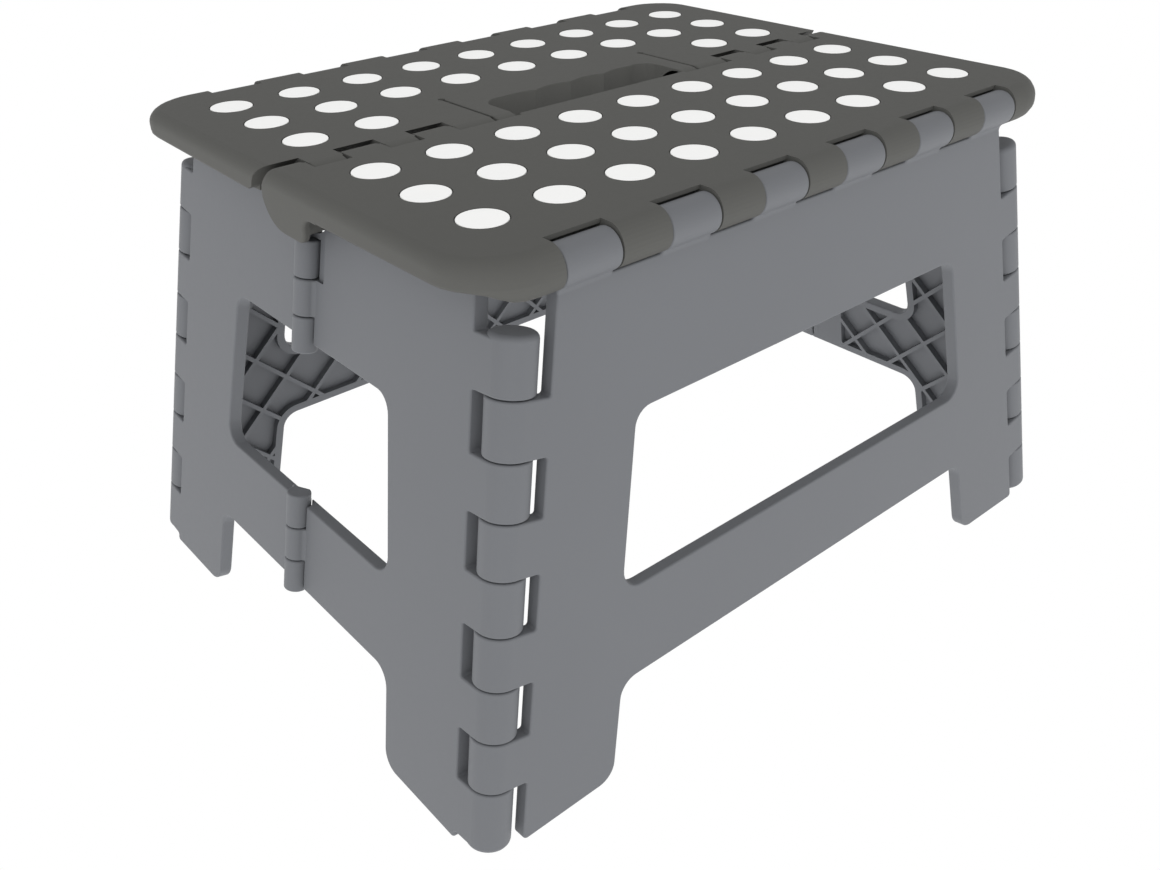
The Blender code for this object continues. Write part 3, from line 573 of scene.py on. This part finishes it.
def rubber(name, colour):
    """Soft white grip rubber with a dusty, slightly pebbled face."""
    finish = Finish(name)
    dust = finish.noise(DUST_SCALE, 4.0)
    pebble = finish.noise(FINE_SCALE, 2.0)
    finish.surface(base_color=finish.blend(dust, shade(colour, 0.97), shade(colour, 1.0)))
    finish.surface(roughness=GRIP_ROUGH + 0.15 * dust)
    finish.bump(pebble, 0.08, GRAIN_HEIGHT)
    return finish.material


def steel(name, colour):
    """Drawn steel rod with fine draw lines."""
    finish = Finish(name)
    lines = finish.noise(FINE_SCALE, 4.0)
    finish.surface(base_color=finish.blend(lines, shade(colour, 0.9), shade(colour, 1.1)))
    finish.surface(roughness=STEEL_ROUGH + 0.2 * lines)
    finish.shader.inputs["Metallic"].default_value = 1.0
    finish.bump(lines, 0.05, LINE_HEIGHT)
    return finish.material


def panel_frame(lean, turn, out):
    """Frame of a sloping panel: x along it, y up its outer face, z outward, origin at deck level."""
    c, s = math.cos(turn), math.sin(turn)
    around = np.array([[c, -s, 0.0], [s, c, 0.0], [0.0, 0.0, 1.0]])
    up = around @ (0.0, math.sin(lean), math.cos(lean))
    outward = around @ (0.0, -math.cos(lean), math.sin(lean))
    return basis(around[:, 0], up, outward, around @ (0.0, -out, HEIGHT))


class Corner:
    """Hinge line at the right edge of a panel: s runs into the panel from the axis, t down along it."""

    def __init__(self, lean, other_face, other_slope, other_lean, slot):
        self.reach = CORNER_R + slot
        base = other_face - CORNER_R / math.cos(other_lean) + other_slope * CORNER_R * math.sin(lean)
        spread = other_slope * math.cos(lean)
        rise = CORNER_R * math.tan(lean)
        self.origin = np.array([base - spread * rise, rise])
        self.into = unit(np.array([-1.0, -spread]))
        self.down = np.array([-self.into[1], self.into[0]])
        self.matrix = basis((*self.into, 0.0), (0.0, 0.0, 1.0), (*-self.down, 0.0), (*self.origin, -CORNER_R))

    def point(self, s, t):
        """Point of the panel at s from the axis and t down it."""
        return tuple(self.origin + self.into * s + self.down * t)

    def edge(self, y):
        """Point of the panel's plain edge at a height y."""
        t = (y - self.origin[1] - self.into[1] * self.reach) / self.down[1]
        return self.point(self.reach, t)

    def span(self, number):
        """First and last t of a knuckle."""
        last = CORNER_LENGTH if number == CORNER_COUNT - 1 else CORNER_TOP + (number + 1) * CORNER_PITCH
        return CORNER_TOP + number * CORNER_PITCH + AXIAL_GAP / 2.0, last - AXIAL_GAP / 2.0

    def teeth(self, first):
        """Corners of every second tooth, from the lowest to the highest."""
        corners = []
        for number in reversed(range(first, CORNER_COUNT, 2)):
            upper, lower = self.span(number)
            upper += (number == 0) * (CORNER_ROUND - FINE_RIM)
            lower -= (number == CORNER_COUNT - 1) * (CORNER_ROUND - FINE_RIM)
            for s, t, radius in ((self.reach, lower, ROOT_R), (-FINE_RIM, lower, ROOT_R),
                                 (-FINE_RIM, upper, ROOT_R), (self.reach, upper, ROOT_R)):
                corners.append((*self.point(s, t), radius))
        return corners

    def barrels(self, first):
        """Round knuckles of the same teeth, touching the panel's outer face."""
        made = []
        for number in range(first, CORNER_COUNT, 2):
            upper, lower = self.span(number)
            rims = [CORNER_ROUND if number == free else FINE_RIM for free in (0, CORNER_COUNT - 1)]
            made.append(moved(mould([circle(CORNER_R)], -lower, -upper, *rims), self.matrix))
        return made


def mirrored(corners):
    """Corners on the other side of the middle, in the order that keeps the outline's sense."""
    return [(-x, y, radius) for x, y, radius in reversed(corners)]


def lattice(field):
    """Cells between ribs that cross squarely: |x + y - iP| < h and |x - y - jP| < h inside the field."""
    half = RIB_PITCH / 2.0 - RIB_W / math.sqrt(2.0)
    everything = np.concatenate(field)
    reach = np.abs(everything).sum(1).max()
    steps = np.arange(-math.ceil(reach / RIB_PITCH), math.ceil(reach / RIB_PITCH) + 1) * RIB_PITCH
    levels = np.concatenate([steps - half, steps + half])
    far = np.full(len(levels), 2.0 * reach)
    rising = np.stack([np.column_stack([levels - far, far]), np.column_stack([levels + far, -far])], 1)
    falling = np.stack([np.column_stack([levels - far, -far]), np.column_stack([levels + far, far])], 1)
    ends = np.concatenate([rising, falling]).reshape(-1, 2)
    flat, triangles = triangulate(field, (ends, np.arange(len(ends)).reshape(-1, 2)))
    edges = np.unique(np.sort(triangles[:, [[0, 1], [1, 2], [2, 0]]].reshape(-1, 2), axis=1), axis=0)

    def wrapped(value):
        return np.abs(value - np.round(value / RIB_PITCH) * RIB_PITCH)

    def test(points):
        cell = (wrapped(points.sum(1)) < half) & (wrapped(points[:, 0] - points[:, 1]) < half)
        return cell & within(points, field)

    used, numbers = np.unique(edges, return_inverse=True)
    return (flat[used], numbers.reshape(-1, 2)), test, PANEL_T - RIB_SKIN


def grounded(shell):
    """Shell with nothing below the floor."""
    points = shell[0].copy()
    points[:, 2] = np.maximum(points[:, 2], 0.0)
    return points, shell[1]


def field_of(corners):
    """Outline of the ribbed field inside a panel's plain outline."""
    return inset(outline([(x, y, max(radius, FIELD_CORNER)) for x, y, radius in corners]),
                 np.full(1, FIELD_BORDER))


def edge_middles():
    """Middles of the grey knuckles along a long edge."""
    return (np.arange(EDGE_COUNT) - (EDGE_COUNT - 1) / 2.0) * EDGE_PITCH


def side_shells():
    """A long side in its own frame: windowed plate with teeth, corner barrels and filleted top knuckles."""
    cos_lean = math.cos(SIDE_LEAN)
    top, rail, floor = (-depth / cos_lean for depth in (SIDE_TOP, RAIL_BOTTOM, HEIGHT))
    low, high = -WINDOW_BOTTOM / cos_lean, -WINDOW_TOP / cos_lean
    corner = Corner(SIDE_LEAN, END_FACE, END_SLOPE, END_LEAN, SIDE_SLOT)
    foot = SIDE_FOOT_INNER + END_SLOPE * (HEIGHT - RAIL_BOTTOM)
    start = [(SIDE_FOOT_INNER, rail, FOOT_R), (foot, floor, FOOT_R), (*corner.edge(floor), PANEL_CORNER)]
    end = [(*corner.edge(top), 0.0)]
    window = outline([(-SIDE_WINDOW_UPPER, high, WINDOW_R), (-SIDE_WINDOW_LOWER, low, WINDOW_R),
                      (SIDE_WINDOW_LOWER, low, WINDOW_R), (SIDE_WINDOW_UPPER, high, WINDOW_R)])[::-1]

    drop = np.linalg.inv(panel_frame(SIDE_LEAN, 0.0, SIDE_FACE)) @ (0.0, -EDGE_Y, HEIGHT - EDGE_DEPTH, 1.0)
    width = EDGE_KNUCKLE - AXIAL_GAP
    tongues = []
    for x in edge_middles()[::-1]:
        right, left = x + width / 2.0, x - width / 2.0
        tongues += [(right, top, ROOT_R), (right, drop[1], ROOT_R),
                    (left, drop[1], ROOT_R), (left, top, ROOT_R)]
    toothed = start + corner.teeth(1) + end
    plain = start + end
    # The outermost tongues rise straight from the panel's corners
    outer = outline(toothed + tongues[1:-1] + mirrored(toothed))
    cells = lattice([field_of(plain + mirrored(plain)), inset(window, np.full(1, FIELD_BORDER))])
    plate = mould([outer, window], -PANEL_T, 0.0, FINE_RIM, under=cells)

    barrels = corner.barrels(1)
    barrels += [moved(barrel, FLIP) for barrel in barrels]
    lie = basis((0.0, -1.0, 0.0), (0.0, 0.0, 1.0), (-1.0, 0.0, 0.0), (0.0, drop[1], 0.0))
    profile = filleted(EDGE_R, drop[2], EDGE_FILLET)
    knuckles = [moved(mould([profile], x - width / 2.0, x + width / 2.0, FINE_RIM), lie)
                for x in edge_middles()]
    return [plate] + barrels + knuckles


def mid_spans(owner):
    """Slant ranges of the middle knuckles whose number has the given remainder."""
    return [(top + number * pitch, top + (number + 1) * pitch)
            for top, pitch in MID_PITCHES for number in range(MID_COUNT) if number % 2 == owner]


def end_shells(owner):
    """The half of an end at +x of its middle hinge; owner is the remainder of its knuckle numbers."""
    cos_lean = math.cos(END_LEAN)
    top, rail, floor = (-depth / cos_lean for depth in (END_TOP, RAIL_BOTTOM, HEIGHT))
    low, high = -WINDOW_BOTTOM / cos_lean, -WINDOW_TOP / cos_lean
    corner = Corner(END_LEAN, SIDE_FACE, SIDE_SLOPE, SIDE_LEAN, END_SLOT)
    foot = END_FOOT_INNER + SIDE_SLOPE * (HEIGHT - RAIL_BOTTOM)
    notch_top = math.asin((CENTRE_R - END_TOP) / MID_NOTCH_R)
    notch_foot = -math.acos(MID_GAP / MID_NOTCH_R)
    turn = np.linspace(notch_top, notch_foot, ROUND_STEPS // 4)
    notch = [(MID_NOTCH_R * math.cos(a), (MID_NOTCH_R * math.sin(a) - CENTRE_R) / cos_lean, 0.0)
             for a in turn]
    shoulder = [(*corner.edge(top), PANEL_CORNER)] + notch
    window = [(END_WINDOW_UPPER, high, WINDOW_R), (END_WINDOW_LOWER, low, WINDOW_R)]
    arch = [(END_FOOT_INNER, rail, FOOT_R), (foot, floor, FOOT_R), (*corner.edge(floor), PANEL_CORNER)]
    top_rail = [(MID_GAP, high, ROOT_R)]
    low_rail = [(MID_GAP, low, ROOT_R), (MID_GAP, rail, ROOT_R)]
    outer = outline(shoulder + top_rail + window + low_rail + arch + corner.teeth(0))
    upper = [(MID_NOTCH, top, 0.0), (MID_NOTCH, high, 0.0)]
    lower = [(MID_NOTCH, low, 0.0), (MID_NOTCH, rail, 0.0)]
    cells = lattice([field_of(shoulder[:1] + upper + window + lower + arch)])
    stand = basis((1.0, 0.0, 0.0), (0.0, 0.0, 1.0), (0.0, -1.0, 0.0))
    round_seat = circle(MID_R + MID_PLAY, 0.0, MID_OUT)
    blades = [moved(mould([round_seat], first - AXIAL_GAP / 2.0, last + AXIAL_GAP / 2.0, CUT_RIM), stand)
              for first, last in mid_spans(1 - owner)]
    plate = cut(mould([outer], -PANEL_T, 0.0, FINE_RIM, under=cells), blades)
    if owner == 1:
        last = mid_spans(0)[0][1]
        flat_seat = outline([(-MID_R, -last, 0.0), (MID_SEAT, -last, FINE_RIM), (MID_SEAT, -END_TOP, 0.0),
                             (-MID_R, -END_TOP, 0.0)])
        plate = cut(plate, [mould([flat_seat], -MID_SEAT_DEEP, 2.0 * MID_R, CUT_RIM)])
    profile = filleted(MID_R, MID_OUT, MID_FILLET)
    knuckles = [moved(mould([profile], first + AXIAL_GAP / 2.0, last - AXIAL_GAP / 2.0, FINE_RIM), stand)
                for first, last in mid_spans(owner)]
    return [plate] + corner.barrels(0) + knuckles


def both_sides(spans):
    """The same stretches on the right and the left."""
    return spans + [(-high, -low) for low, high in spans]


def finger_spans():
    """Stretches of the seam, on the right, that belong to the front half."""
    return [(FINGER_FIRST + i * FINGER_PITCH, FINGER_FIRST + i * FINGER_PITCH + FINGER_W)
            for i in range(FINGER_COUNT)]


def between_spans():
    """Stretches of the seam, on the right, that belong to the rear half."""
    front = finger_spans()
    lows = [HANDLE_HALF] + [high + FINGER_GAP for low, high in front[:-1]]
    return list(zip(lows, [low - FINGER_GAP for low, high in front]))


def dot_places(rear):
    """Centres of the grip dots of one half, as x and the distance from the seam."""
    x, row = np.meshgrid((np.arange(DOT_COLUMNS) - (DOT_COLUMNS - 1) / 2.0) * DOT_PITCH, np.arange(DOT_ROWS))
    kept = ~(rear & (row == 0) & (np.abs(x) < DOT_HANDLE_CLEAR))
    return np.column_stack([x[kept], DOT_FIRST_ROW + row[kept] * DOT_PITCH])


def row_pockets(rear, spare):
    """Rounded boxes of the dot rows under the skin, drawn in by spare."""
    half = (DOT_PITCH - ROW_RIB) / 2.0
    end = DECK_HALF - SKIRT_T - spare
    loops = []
    for row in range(DOT_ROWS):
        middle = DOT_FIRST_ROW + row * DOT_PITCH
        near = (POCKET_NEAR if row == 0 else middle - half) + spare
        far = (POCKET_FAR if row == DOT_ROWS - 1 else middle + half) - spare
        spans = [(-end, end)]
        if rear and row == 0:
            spans = both_sides([(HANDLE_HALF + HANDLE_WALL + spare, end)])
        loops += [outline([(left, near, POCKET_R), (right, near, POCKET_R), (right, far, POCKET_R),
                           (left, far, POCKET_R)]) for left, right in spans]
    return loops


def sunk(loops, depth):
    """Cells for every loop, sunk by one depth."""
    return sides_of(loops), lambda points: within(points, loops), depth


def scalloped_edge():
    """Pull edge of the finger opening from left to right: shallow round dips between two large corners."""
    inner = HANDLE_HALF - HANDLE_R
    turn = np.linspace(0.0, np.pi / 2.0, 2 * ARC_STEPS + 1)
    bend = np.column_stack([inner + HANDLE_R * np.cos(turn), HANDLE_REAR - HANDLE_R * (1.0 - np.sin(turn))])
    along = np.linspace(-1.0, 1.0, 2 * ARC_STEPS * SCALLOP_COUNT + 1)[1:-1]
    fade = np.clip(2.0 * (1.0 - np.abs(along)), 0.0, 1.0)
    dip = SCALLOP_DEEP * fade * (1.0 - np.abs(np.sin(np.pi * SCALLOP_COUNT * (along + 1.0) / 2.0)))
    waves = np.column_stack([inner * along, HANDLE_REAR - dip])
    return np.concatenate([bend * (-1.0, 1.0), waves, bend[::-1]])


def deck_loop(rear):
    """Plan of a deck half as x and distance from the seam, round to the left about its inside."""
    seam = -FINE_RIM
    wide = EDGE_Y + EDGE_R
    notch = DECK_HALF - 2.0 * END_RIM
    rim = FINE_RIM
    outside = [(DECK_HALF, seam, rim), (DECK_HALF, wide, DECK_CORNER), (-DECK_HALF, wide, DECK_CORNER),
               (-DECK_HALF, seam, rim), (-notch, seam, 0.0)]
    if not rear:
        mouth = [(-HANDLE_HALF, seam, rim), (-HANDLE_HALF, HANDLE_FRONT, rim),
                 (HANDLE_HALF, HANDLE_FRONT, rim), (HANDLE_HALF, seam, rim)]
        return outline(outside + mouth + [(notch, seam, 0.0)])
    half = SLIT_W / 2.0
    hole = SLIT_HOLE
    slit = [(-SLIT_X - half, seam, 0.0), (-SLIT_X - half, SLIT_END - hole, 0.0),
            (-SLIT_X - hole, SLIT_END, 0.0), (-SLIT_X - half, SLIT_END + hole, 0.0),
            (-SLIT_X + half, SLIT_END + hole, 0.0), (-SLIT_X + hole, SLIT_END, 0.0),
            (-SLIT_X + half, SLIT_END - hole, 0.0), (-SLIT_X + half, seam, 0.0)]
    edge = [(x, y, 0.0) for x, y in scalloped_edge()]
    mouth = [(-HANDLE_HALF, seam, 0.0)] + edge + [(HANDLE_HALF, seam, 0.0)]
    return outline(outside + slit + mouth + mirrored(slit) + [(notch, seam, 0.0)])


def deck_slab(rear):
    """A deck half in plan: rounded ends that swell into a full roll along the hinge edge.

    The share of roll, r, rises smoothly round the plan's corners, and the top rim's radius goes with it from
    the end's rim to the roll's. The bottom drops from the slab's depth to the roll's lowest line with
    r ** LATE_DROP, so late in the corner, and the last rings climb back to the flat underside behind the roll.
    """
    loop = deck_loop(rear)
    x, v = loop[:, 0], loop[:, 1]
    outside = (np.abs(x) > DECK_HALF - WELD) | (v > EDGE_Y + EDGE_R - DECK_CORNER)
    climb = np.clip((v - EDGE_Y - EDGE_R) / DECK_CORNER + 1.0, 0.0, 1.0)
    roll = climb ** 2 * (3.0 - 2.0 * climb) * outside
    fine = FINE_RIM * 0.5
    upper = np.where(outside, END_RIM + (EDGE_R - END_RIM) * roll, fine)
    deep = np.where(outside, END_RIM + (EDGE_DEPTH - END_RIM) * roll, fine)
    ease = np.clip((v - EAR_TAIL) / (EDGE_Y - DECK_CORNER - EAR_TAIL), 0.0, 1.0) * outside
    wide, tall = (LOW_RIM + (radius - LOW_RIM) * ease for radius in (EASE_IN, EASE_UP))
    lower = np.where(outside, wide + (EDGE_R - wide) * roll, fine)
    drop = roll ** LATE_DROP
    raised = np.where(outside, tall + (EDGE_R - tall) * drop, fine)
    bottom = -SLAB_T - (EDGE_DEPTH + EDGE_R - SLAB_T) * drop
    turn = np.linspace(0.0, np.pi / 2.0, 2 * RIM_STEPS + 1)
    insets = [upper * (1.0 - np.sin(a)) for a in turn] + [lower * (1.0 - np.sin(a)) for a in turn[::-1]]
    heights = [-deep * (1.0 - np.cos(a)) for a in turn]
    heights += [bottom + raised * (1.0 - np.cos(a)) for a in turn[::-1]]
    climbs = np.linspace(0.0, math.acos((SLAB_T - EDGE_DEPTH) / EDGE_R), RIM_STEPS + 1)[1:]
    insets += [lower + EDGE_R * np.sin(a) * roll for a in climbs]
    heights += [bottom + EDGE_R * (1.0 - np.cos(a)) * drop for a in climbs]
    dots = [circle(DOT_R + DOT_GROOVE, *place) for place in dot_places(rear)]
    shells = [sweep(loop, insets, heights),
              face([inset(loop, insets[0])], 0.0, True, sunk(dots, DOT_SINK)),
              face([inset(loop, insets[-1])], -SLAB_T, False, sunk(row_pockets(rear, 0.0), SLAB_T - SKIN_T))]
    return weld(shells)


def along_x(depth, v):
    """Frame of a bar that runs along x: its profile's x is the distance from the seam, its y is up."""
    return basis((0.0, 1.0, 0.0), (0.0, 0.0, 1.0), (1.0, 0.0, 0.0), (0.0, v, -depth))


def end_ear():
    """Flat hinge ear at an end of the front half, in one face with the deck's end.

    Its profile is the end strip with a round lug below it. The rim's radius goes from the deck's rim at the
    top to a fine one below, as a smooth step over the rim's own height. The strip is made too long and cut off
    square, so that it butts against the slab, and the lug is thinned from behind.
    """
    low, root = -EAR_DEPTH, -SLAB_T
    spare = EAR_TAIL + SLAB_T
    loop = outline([(spare, 0.0, 0.0), (-EAR_BACK, 0.0, EAR_TOP_R), (-EAR_BACK, low, EAR_BACK_R),
                    (EAR_FRONT, low, EAR_FRONT_R), (EAR_FRONT, root, EAR_FILLET), (spare, root, 0.0)])
    share = np.clip(1.0 + loop[:, 1] / (2.0 * END_RIM), 0.0, 1.0)
    rim = LOW_RIM + (END_RIM - LOW_RIM) * share ** 2 * (3.0 - 2.0 * share)
    turn = np.linspace(0.0, np.pi / 2.0, 2 * RIM_STEPS + 1)
    insets = [rim * (1.0 - np.sin(a)) for a in turn] + [np.zeros(len(loop))]
    heights = [DECK_HALF - rim * (1.0 - np.cos(a)) for a in turn] + [np.full(len(loop), EAR_INNER)]
    shells = [sweep(loop, insets, heights), face([inset(loop, insets[0])], DECK_HALF, True),
              face([loop], EAR_INNER, False)]
    reach = 2.0 * SLAB_T
    beyond = outline([(EAR_TAIL, -reach, 0.0), (spare + reach, -reach, 0.0), (spare + reach, reach, 0.0),
                      (EAR_TAIL, reach, 0.0)])
    behind = outline([(-reach, low - reach, 0.0), (spare + reach, low - reach, 0.0),
                      (spare + reach, root, 0.0), (-reach, root, 0.0)])
    ear = cut(weld(shells), [mould([beyond], EAR_INNER - reach, DECK_HALF + reach, CUT_RIM)])
    ear = cut(ear, [mould([behind], EAR_INNER - reach, DECK_HALF - EAR_T, CUT_RIM)])
    return moved(ear, along_x(0.0, 0.0))


def deck_shells(rear):
    """A deck half with its seam barrels, in plan coordinates below the deck."""
    own, other = (between_spans(), finger_spans()) if rear else (finger_spans(), between_spans())
    blades = []
    for low, high in both_sides(other):
        reach = FINGER_GAP - AXIAL_GAP / 2.0
        past = 4.0 * END_RIM if max(abs(low), abs(high)) > DECK_HALF - WELD else 0.0
        ends = (low - reach - (past if low < 0.0 else 0.0), high + reach + (past if high > 0.0 else 0.0))
        blades.append(moved(mould([circle(CENTRE_R + CENTRE_PLAY)], *ends, CUT_RIM), along_x(CENTRE_R, 0.0)))
    clear = EDGE_R + EDGE_PLAY
    turn = np.linspace(math.pi - math.acos(EDGE_BACK / clear), 2.0 * math.pi, ROUND_STEPS)
    arc = clear * np.column_stack([np.cos(turn), np.sin(turn)])
    mouth = np.concatenate([[(-EDGE_BACK, 2.0 * EDGE_DEPTH)], arc, [(clear, 2.0 * EDGE_DEPTH)]])
    for x in edge_middles():
        reach = (EDGE_KNUCKLE + AXIAL_GAP) / 2.0
        blades.append(moved(mould([mouth], x - reach, x + reach, CUT_RIM), along_x(EDGE_DEPTH, EDGE_Y)))
    if not rear:
        place = outline([(x, y, 0.0) for x, y in ((-SLAB_T, -SLAB_T), (EAR_TAIL, -SLAB_T),
                                                  (EAR_TAIL, SLAB_T), (-SLAB_T, SLAB_T))])
        blades += [moved(mould([place], *ends, CUT_RIM), along_x(SLAB_T / 2.0, 0.0))
                   for ends in both_sides([(EAR_INNER, DECK_HALF + SLAB_T)])]
    slab = cut(deck_slab(rear), blades)
    if rear:
        under = -SLAB_T - FINE_RIM
        bevel = outline([(x, y, 0.0) for x, y in ((CENTRE_R, under), (BEVEL_LONG, under),
                                                  (CENTRE_R, -BEVEL_DEPTH))])
        slab = cut(slab, [moved(mould([bevel], *ends, CUT_RIM), along_x(0.0, 0.0))
                          for ends in both_sides([(DECK_HALF - EAR_T - FINE_RIM, DECK_HALF + SLAB_T)])])
    barrels = []
    for low, high in own:
        parts = [(low, high)]
        if rear and low < SLIT_X < high:
            parts = [(low, SLIT_X - SLIT_W / 2.0), (SLIT_X + SLIT_W / 2.0, high)]
        for first, last in parts:
            last = min(last, EAR_INNER)
            barrels.append(moved(mould([circle(CENTRE_R)], first, last, FINE_RIM), along_x(CENTRE_R, 0.0)))
    if not rear:
        barrels.append(end_ear())
    barrels += [moved(barrel, FLIP) for barrel in barrels]
    return [slab] + barrels


def grip_shells(rear):
    """Flush dots with eased rims, and the mat that carries them in its row pockets."""
    dots = [mould([circle(DOT_R, *place)], -SKIN_T, 0.0, DOT_RIM) for place in dot_places(rear)]
    high = -SKIN_T - MAT_FIT
    mats = [mould([loop], high - MAT_T, high, MAT_FIT) for loop in row_pockets(rear, MAT_FIT)]
    return dots + mats


def pin_shell(node):
    """Smooth rod in place of a CAD pin, along the main direction of its points."""
    points = np.array([vertex.co[:] for vertex in frame["nodes"][node].data.vertices])
    middle = (points.min(0) + points.max(0)) / 2.0
    way = np.linalg.svd(points - points.mean(0), full_matrices=False)[2][0]
    along = (points - middle) @ way
    radius = np.linalg.norm(points - middle - along[:, None] * way, axis=1).max()
    side = unit(np.cross(way, OFF_AXIS))
    place = basis(side, np.cross(way, side), way, middle)
    return moved(mould([circle(radius)], along.min(), along.max(), radius * PIN_EASE), place)


def build_stool():
    """Make every piece."""
    deck = plastic("deck_plastic_looks", DECK_COLOUR, DECK_ROUGH, DECK_SHEEN)
    panel = plastic("panel_plastic_looks", PANEL_COLOUR, PANEL_ROUGH, PANEL_SHEEN)
    grip = rubber("grip_rubber_looks", GRIP_COLOUR)
    rod = steel("pin_steel_looks", STEEL_COLOUR)

    side = side_shells()
    for name, turn in (("front", 0.0), ("rear", math.pi)):
        place = panel_frame(SIDE_LEAN, turn, SIDE_FACE)
        piece(f"long_side_{name}", [grounded(moved(shell, place)) for shell in side], f"side_{name}",
              [f"side_panel_{name}"], panel)

    halves = {owner: end_shells(owner) for owner in (0, 1)}
    for end, turn in (("left", -math.pi / 2.0), ("right", math.pi / 2.0)):
        place = panel_frame(END_LEAN, turn, END_FACE)
        for half in ("front", "rear"):
            same = (end == "left") == (half == "front")
            shells = halves[1 if same else 0]
            matrix = place if same else place @ FLIP
            piece(f"end_half_{end}_{half}", [grounded(moved(shell, matrix)) for shell in shells],
                  f"end_{end}_{half}", [f"end_panel_{end}_{half}"], panel)

    for name, rear in (("front", False), ("rear", True)):
        place = np.diag([1.0, 1.0 if rear else -1.0, 1.0, 1.0])
        place[2, 3] = HEIGHT
        piece(f"deck_half_{name}", [moved(shell, place) for shell in deck_shells(rear)], f"top_{name}",
              [f"top_panel_{name}"], deck)
        piece(f"grip_insert_{name}", [moved(shell, place) for shell in grip_shells(rear)], f"top_{name}",
              [f"grip_dots_{name}"], grip)

    for body, nodes in frame["record"]["behaviour"]["bodies"].items():
        for node in nodes:
            if "_pin_" in node:
                piece(f"rod_{node}", [pin_shell(node)], body, [node], rod)


def lamp(name, place, target, size, power):
    """A square area lamp that faces its target."""
    light = bpy.data.lights.new(name, 'AREA')
    light.size = size
    light.energy = power
    made = bpy.data.objects.new(name, light)
    made.location = place
    made.rotation_euler = (Vector(target) - Vector(place)).to_track_quat('-Z', 'Y').to_euler()
    bpy.context.scene.collection.objects.link(made)


def studio():
    """White floor and backdrop, soft lamps and the camera."""
    world = bpy.data.worlds.new("studio")
    world.use_nodes = True
    bpy.context.scene.world = world
    tree = world.node_tree
    light = tree.nodes["Background"]
    light.inputs["Color"].default_value = WHITE
    light.inputs["Strength"].default_value = SKY_STRENGTH
    white = tree.nodes.new('ShaderNodeBackground')
    white.inputs["Color"].default_value = WHITE
    path = tree.nodes.new('ShaderNodeLightPath')
    pick = tree.nodes.new('ShaderNodeMixShader')
    tree.links.new(path.outputs["Is Camera Ray"], pick.inputs[0])
    tree.links.new(light.outputs[0], pick.inputs[1])
    tree.links.new(white.outputs[0], pick.inputs[2])
    tree.links.new(pick.outputs[0], tree.nodes["World Output"].inputs[0])

    mesh = bpy.data.meshes.new("floor")
    signs = ((-1.0, -1.0), (1.0, -1.0), (1.0, 1.0), (-1.0, 1.0))
    mesh.from_pydata([(x * FLOOR_REACH, y * FLOOR_REACH, 0.0) for x, y in signs], [], [(0, 1, 2, 3)])
    floor = bpy.data.objects.new("floor", mesh)
    bpy.context.scene.collection.objects.link(floor)
    paper = Finish("floor_paper")
    paper.surface(base_color=FLOOR_TONE)
    paper.shader.inputs["Roughness"].default_value = FLOOR_ROUGH
    paper.shader.inputs["Emission Color"].default_value = WHITE
    paper.shader.inputs["Emission Strength"].default_value = FLOOR_GLOW
    glow = paper.node('ShaderNodeEmission', None, {"Color": WHITE, "Strength": 1.0})
    seen = paper.node('ShaderNodeLightPath').outputs["Is Camera Ray"]
    mixed = paper.node('ShaderNodeMixShader', None, {0: seen, 1: paper.shader.outputs[0], 2: glow.outputs[0]})
    paper.feed(paper.tree.nodes["Material Output"].inputs[0], mixed.outputs[0])
    mesh.materials.append(paper.material)

    middle = (0.0, 0.0, HEIGHT / 2.0)
    lamp("key", KEY_PLACE, middle, LAMP_SIZE, KEY_POWER)
    lamp("fill", FILL_PLACE, middle, LAMP_SIZE, FILL_POWER)

    camera = bpy.data.cameras.new("camera")
    camera.sensor_fit = 'HORIZONTAL'
    camera.sensor_width = SENSOR_WIDTH
    camera.lens = LENS
    camera.clip_start = NEAR_CLIP
    eye = bpy.data.objects.new("camera", camera)
    turn = Euler([math.radians(angle) for angle in EYE_TURN])
    eye.matrix_world = Matrix.LocRotScale(Vector(EYE_PLACE), turn, None)
    bpy.context.scene.collection.objects.link(eye)
    bpy.context.scene.camera = eye
    bpy.context.scene.view_settings.view_transform = 'Standard'


build_stool()
studio()
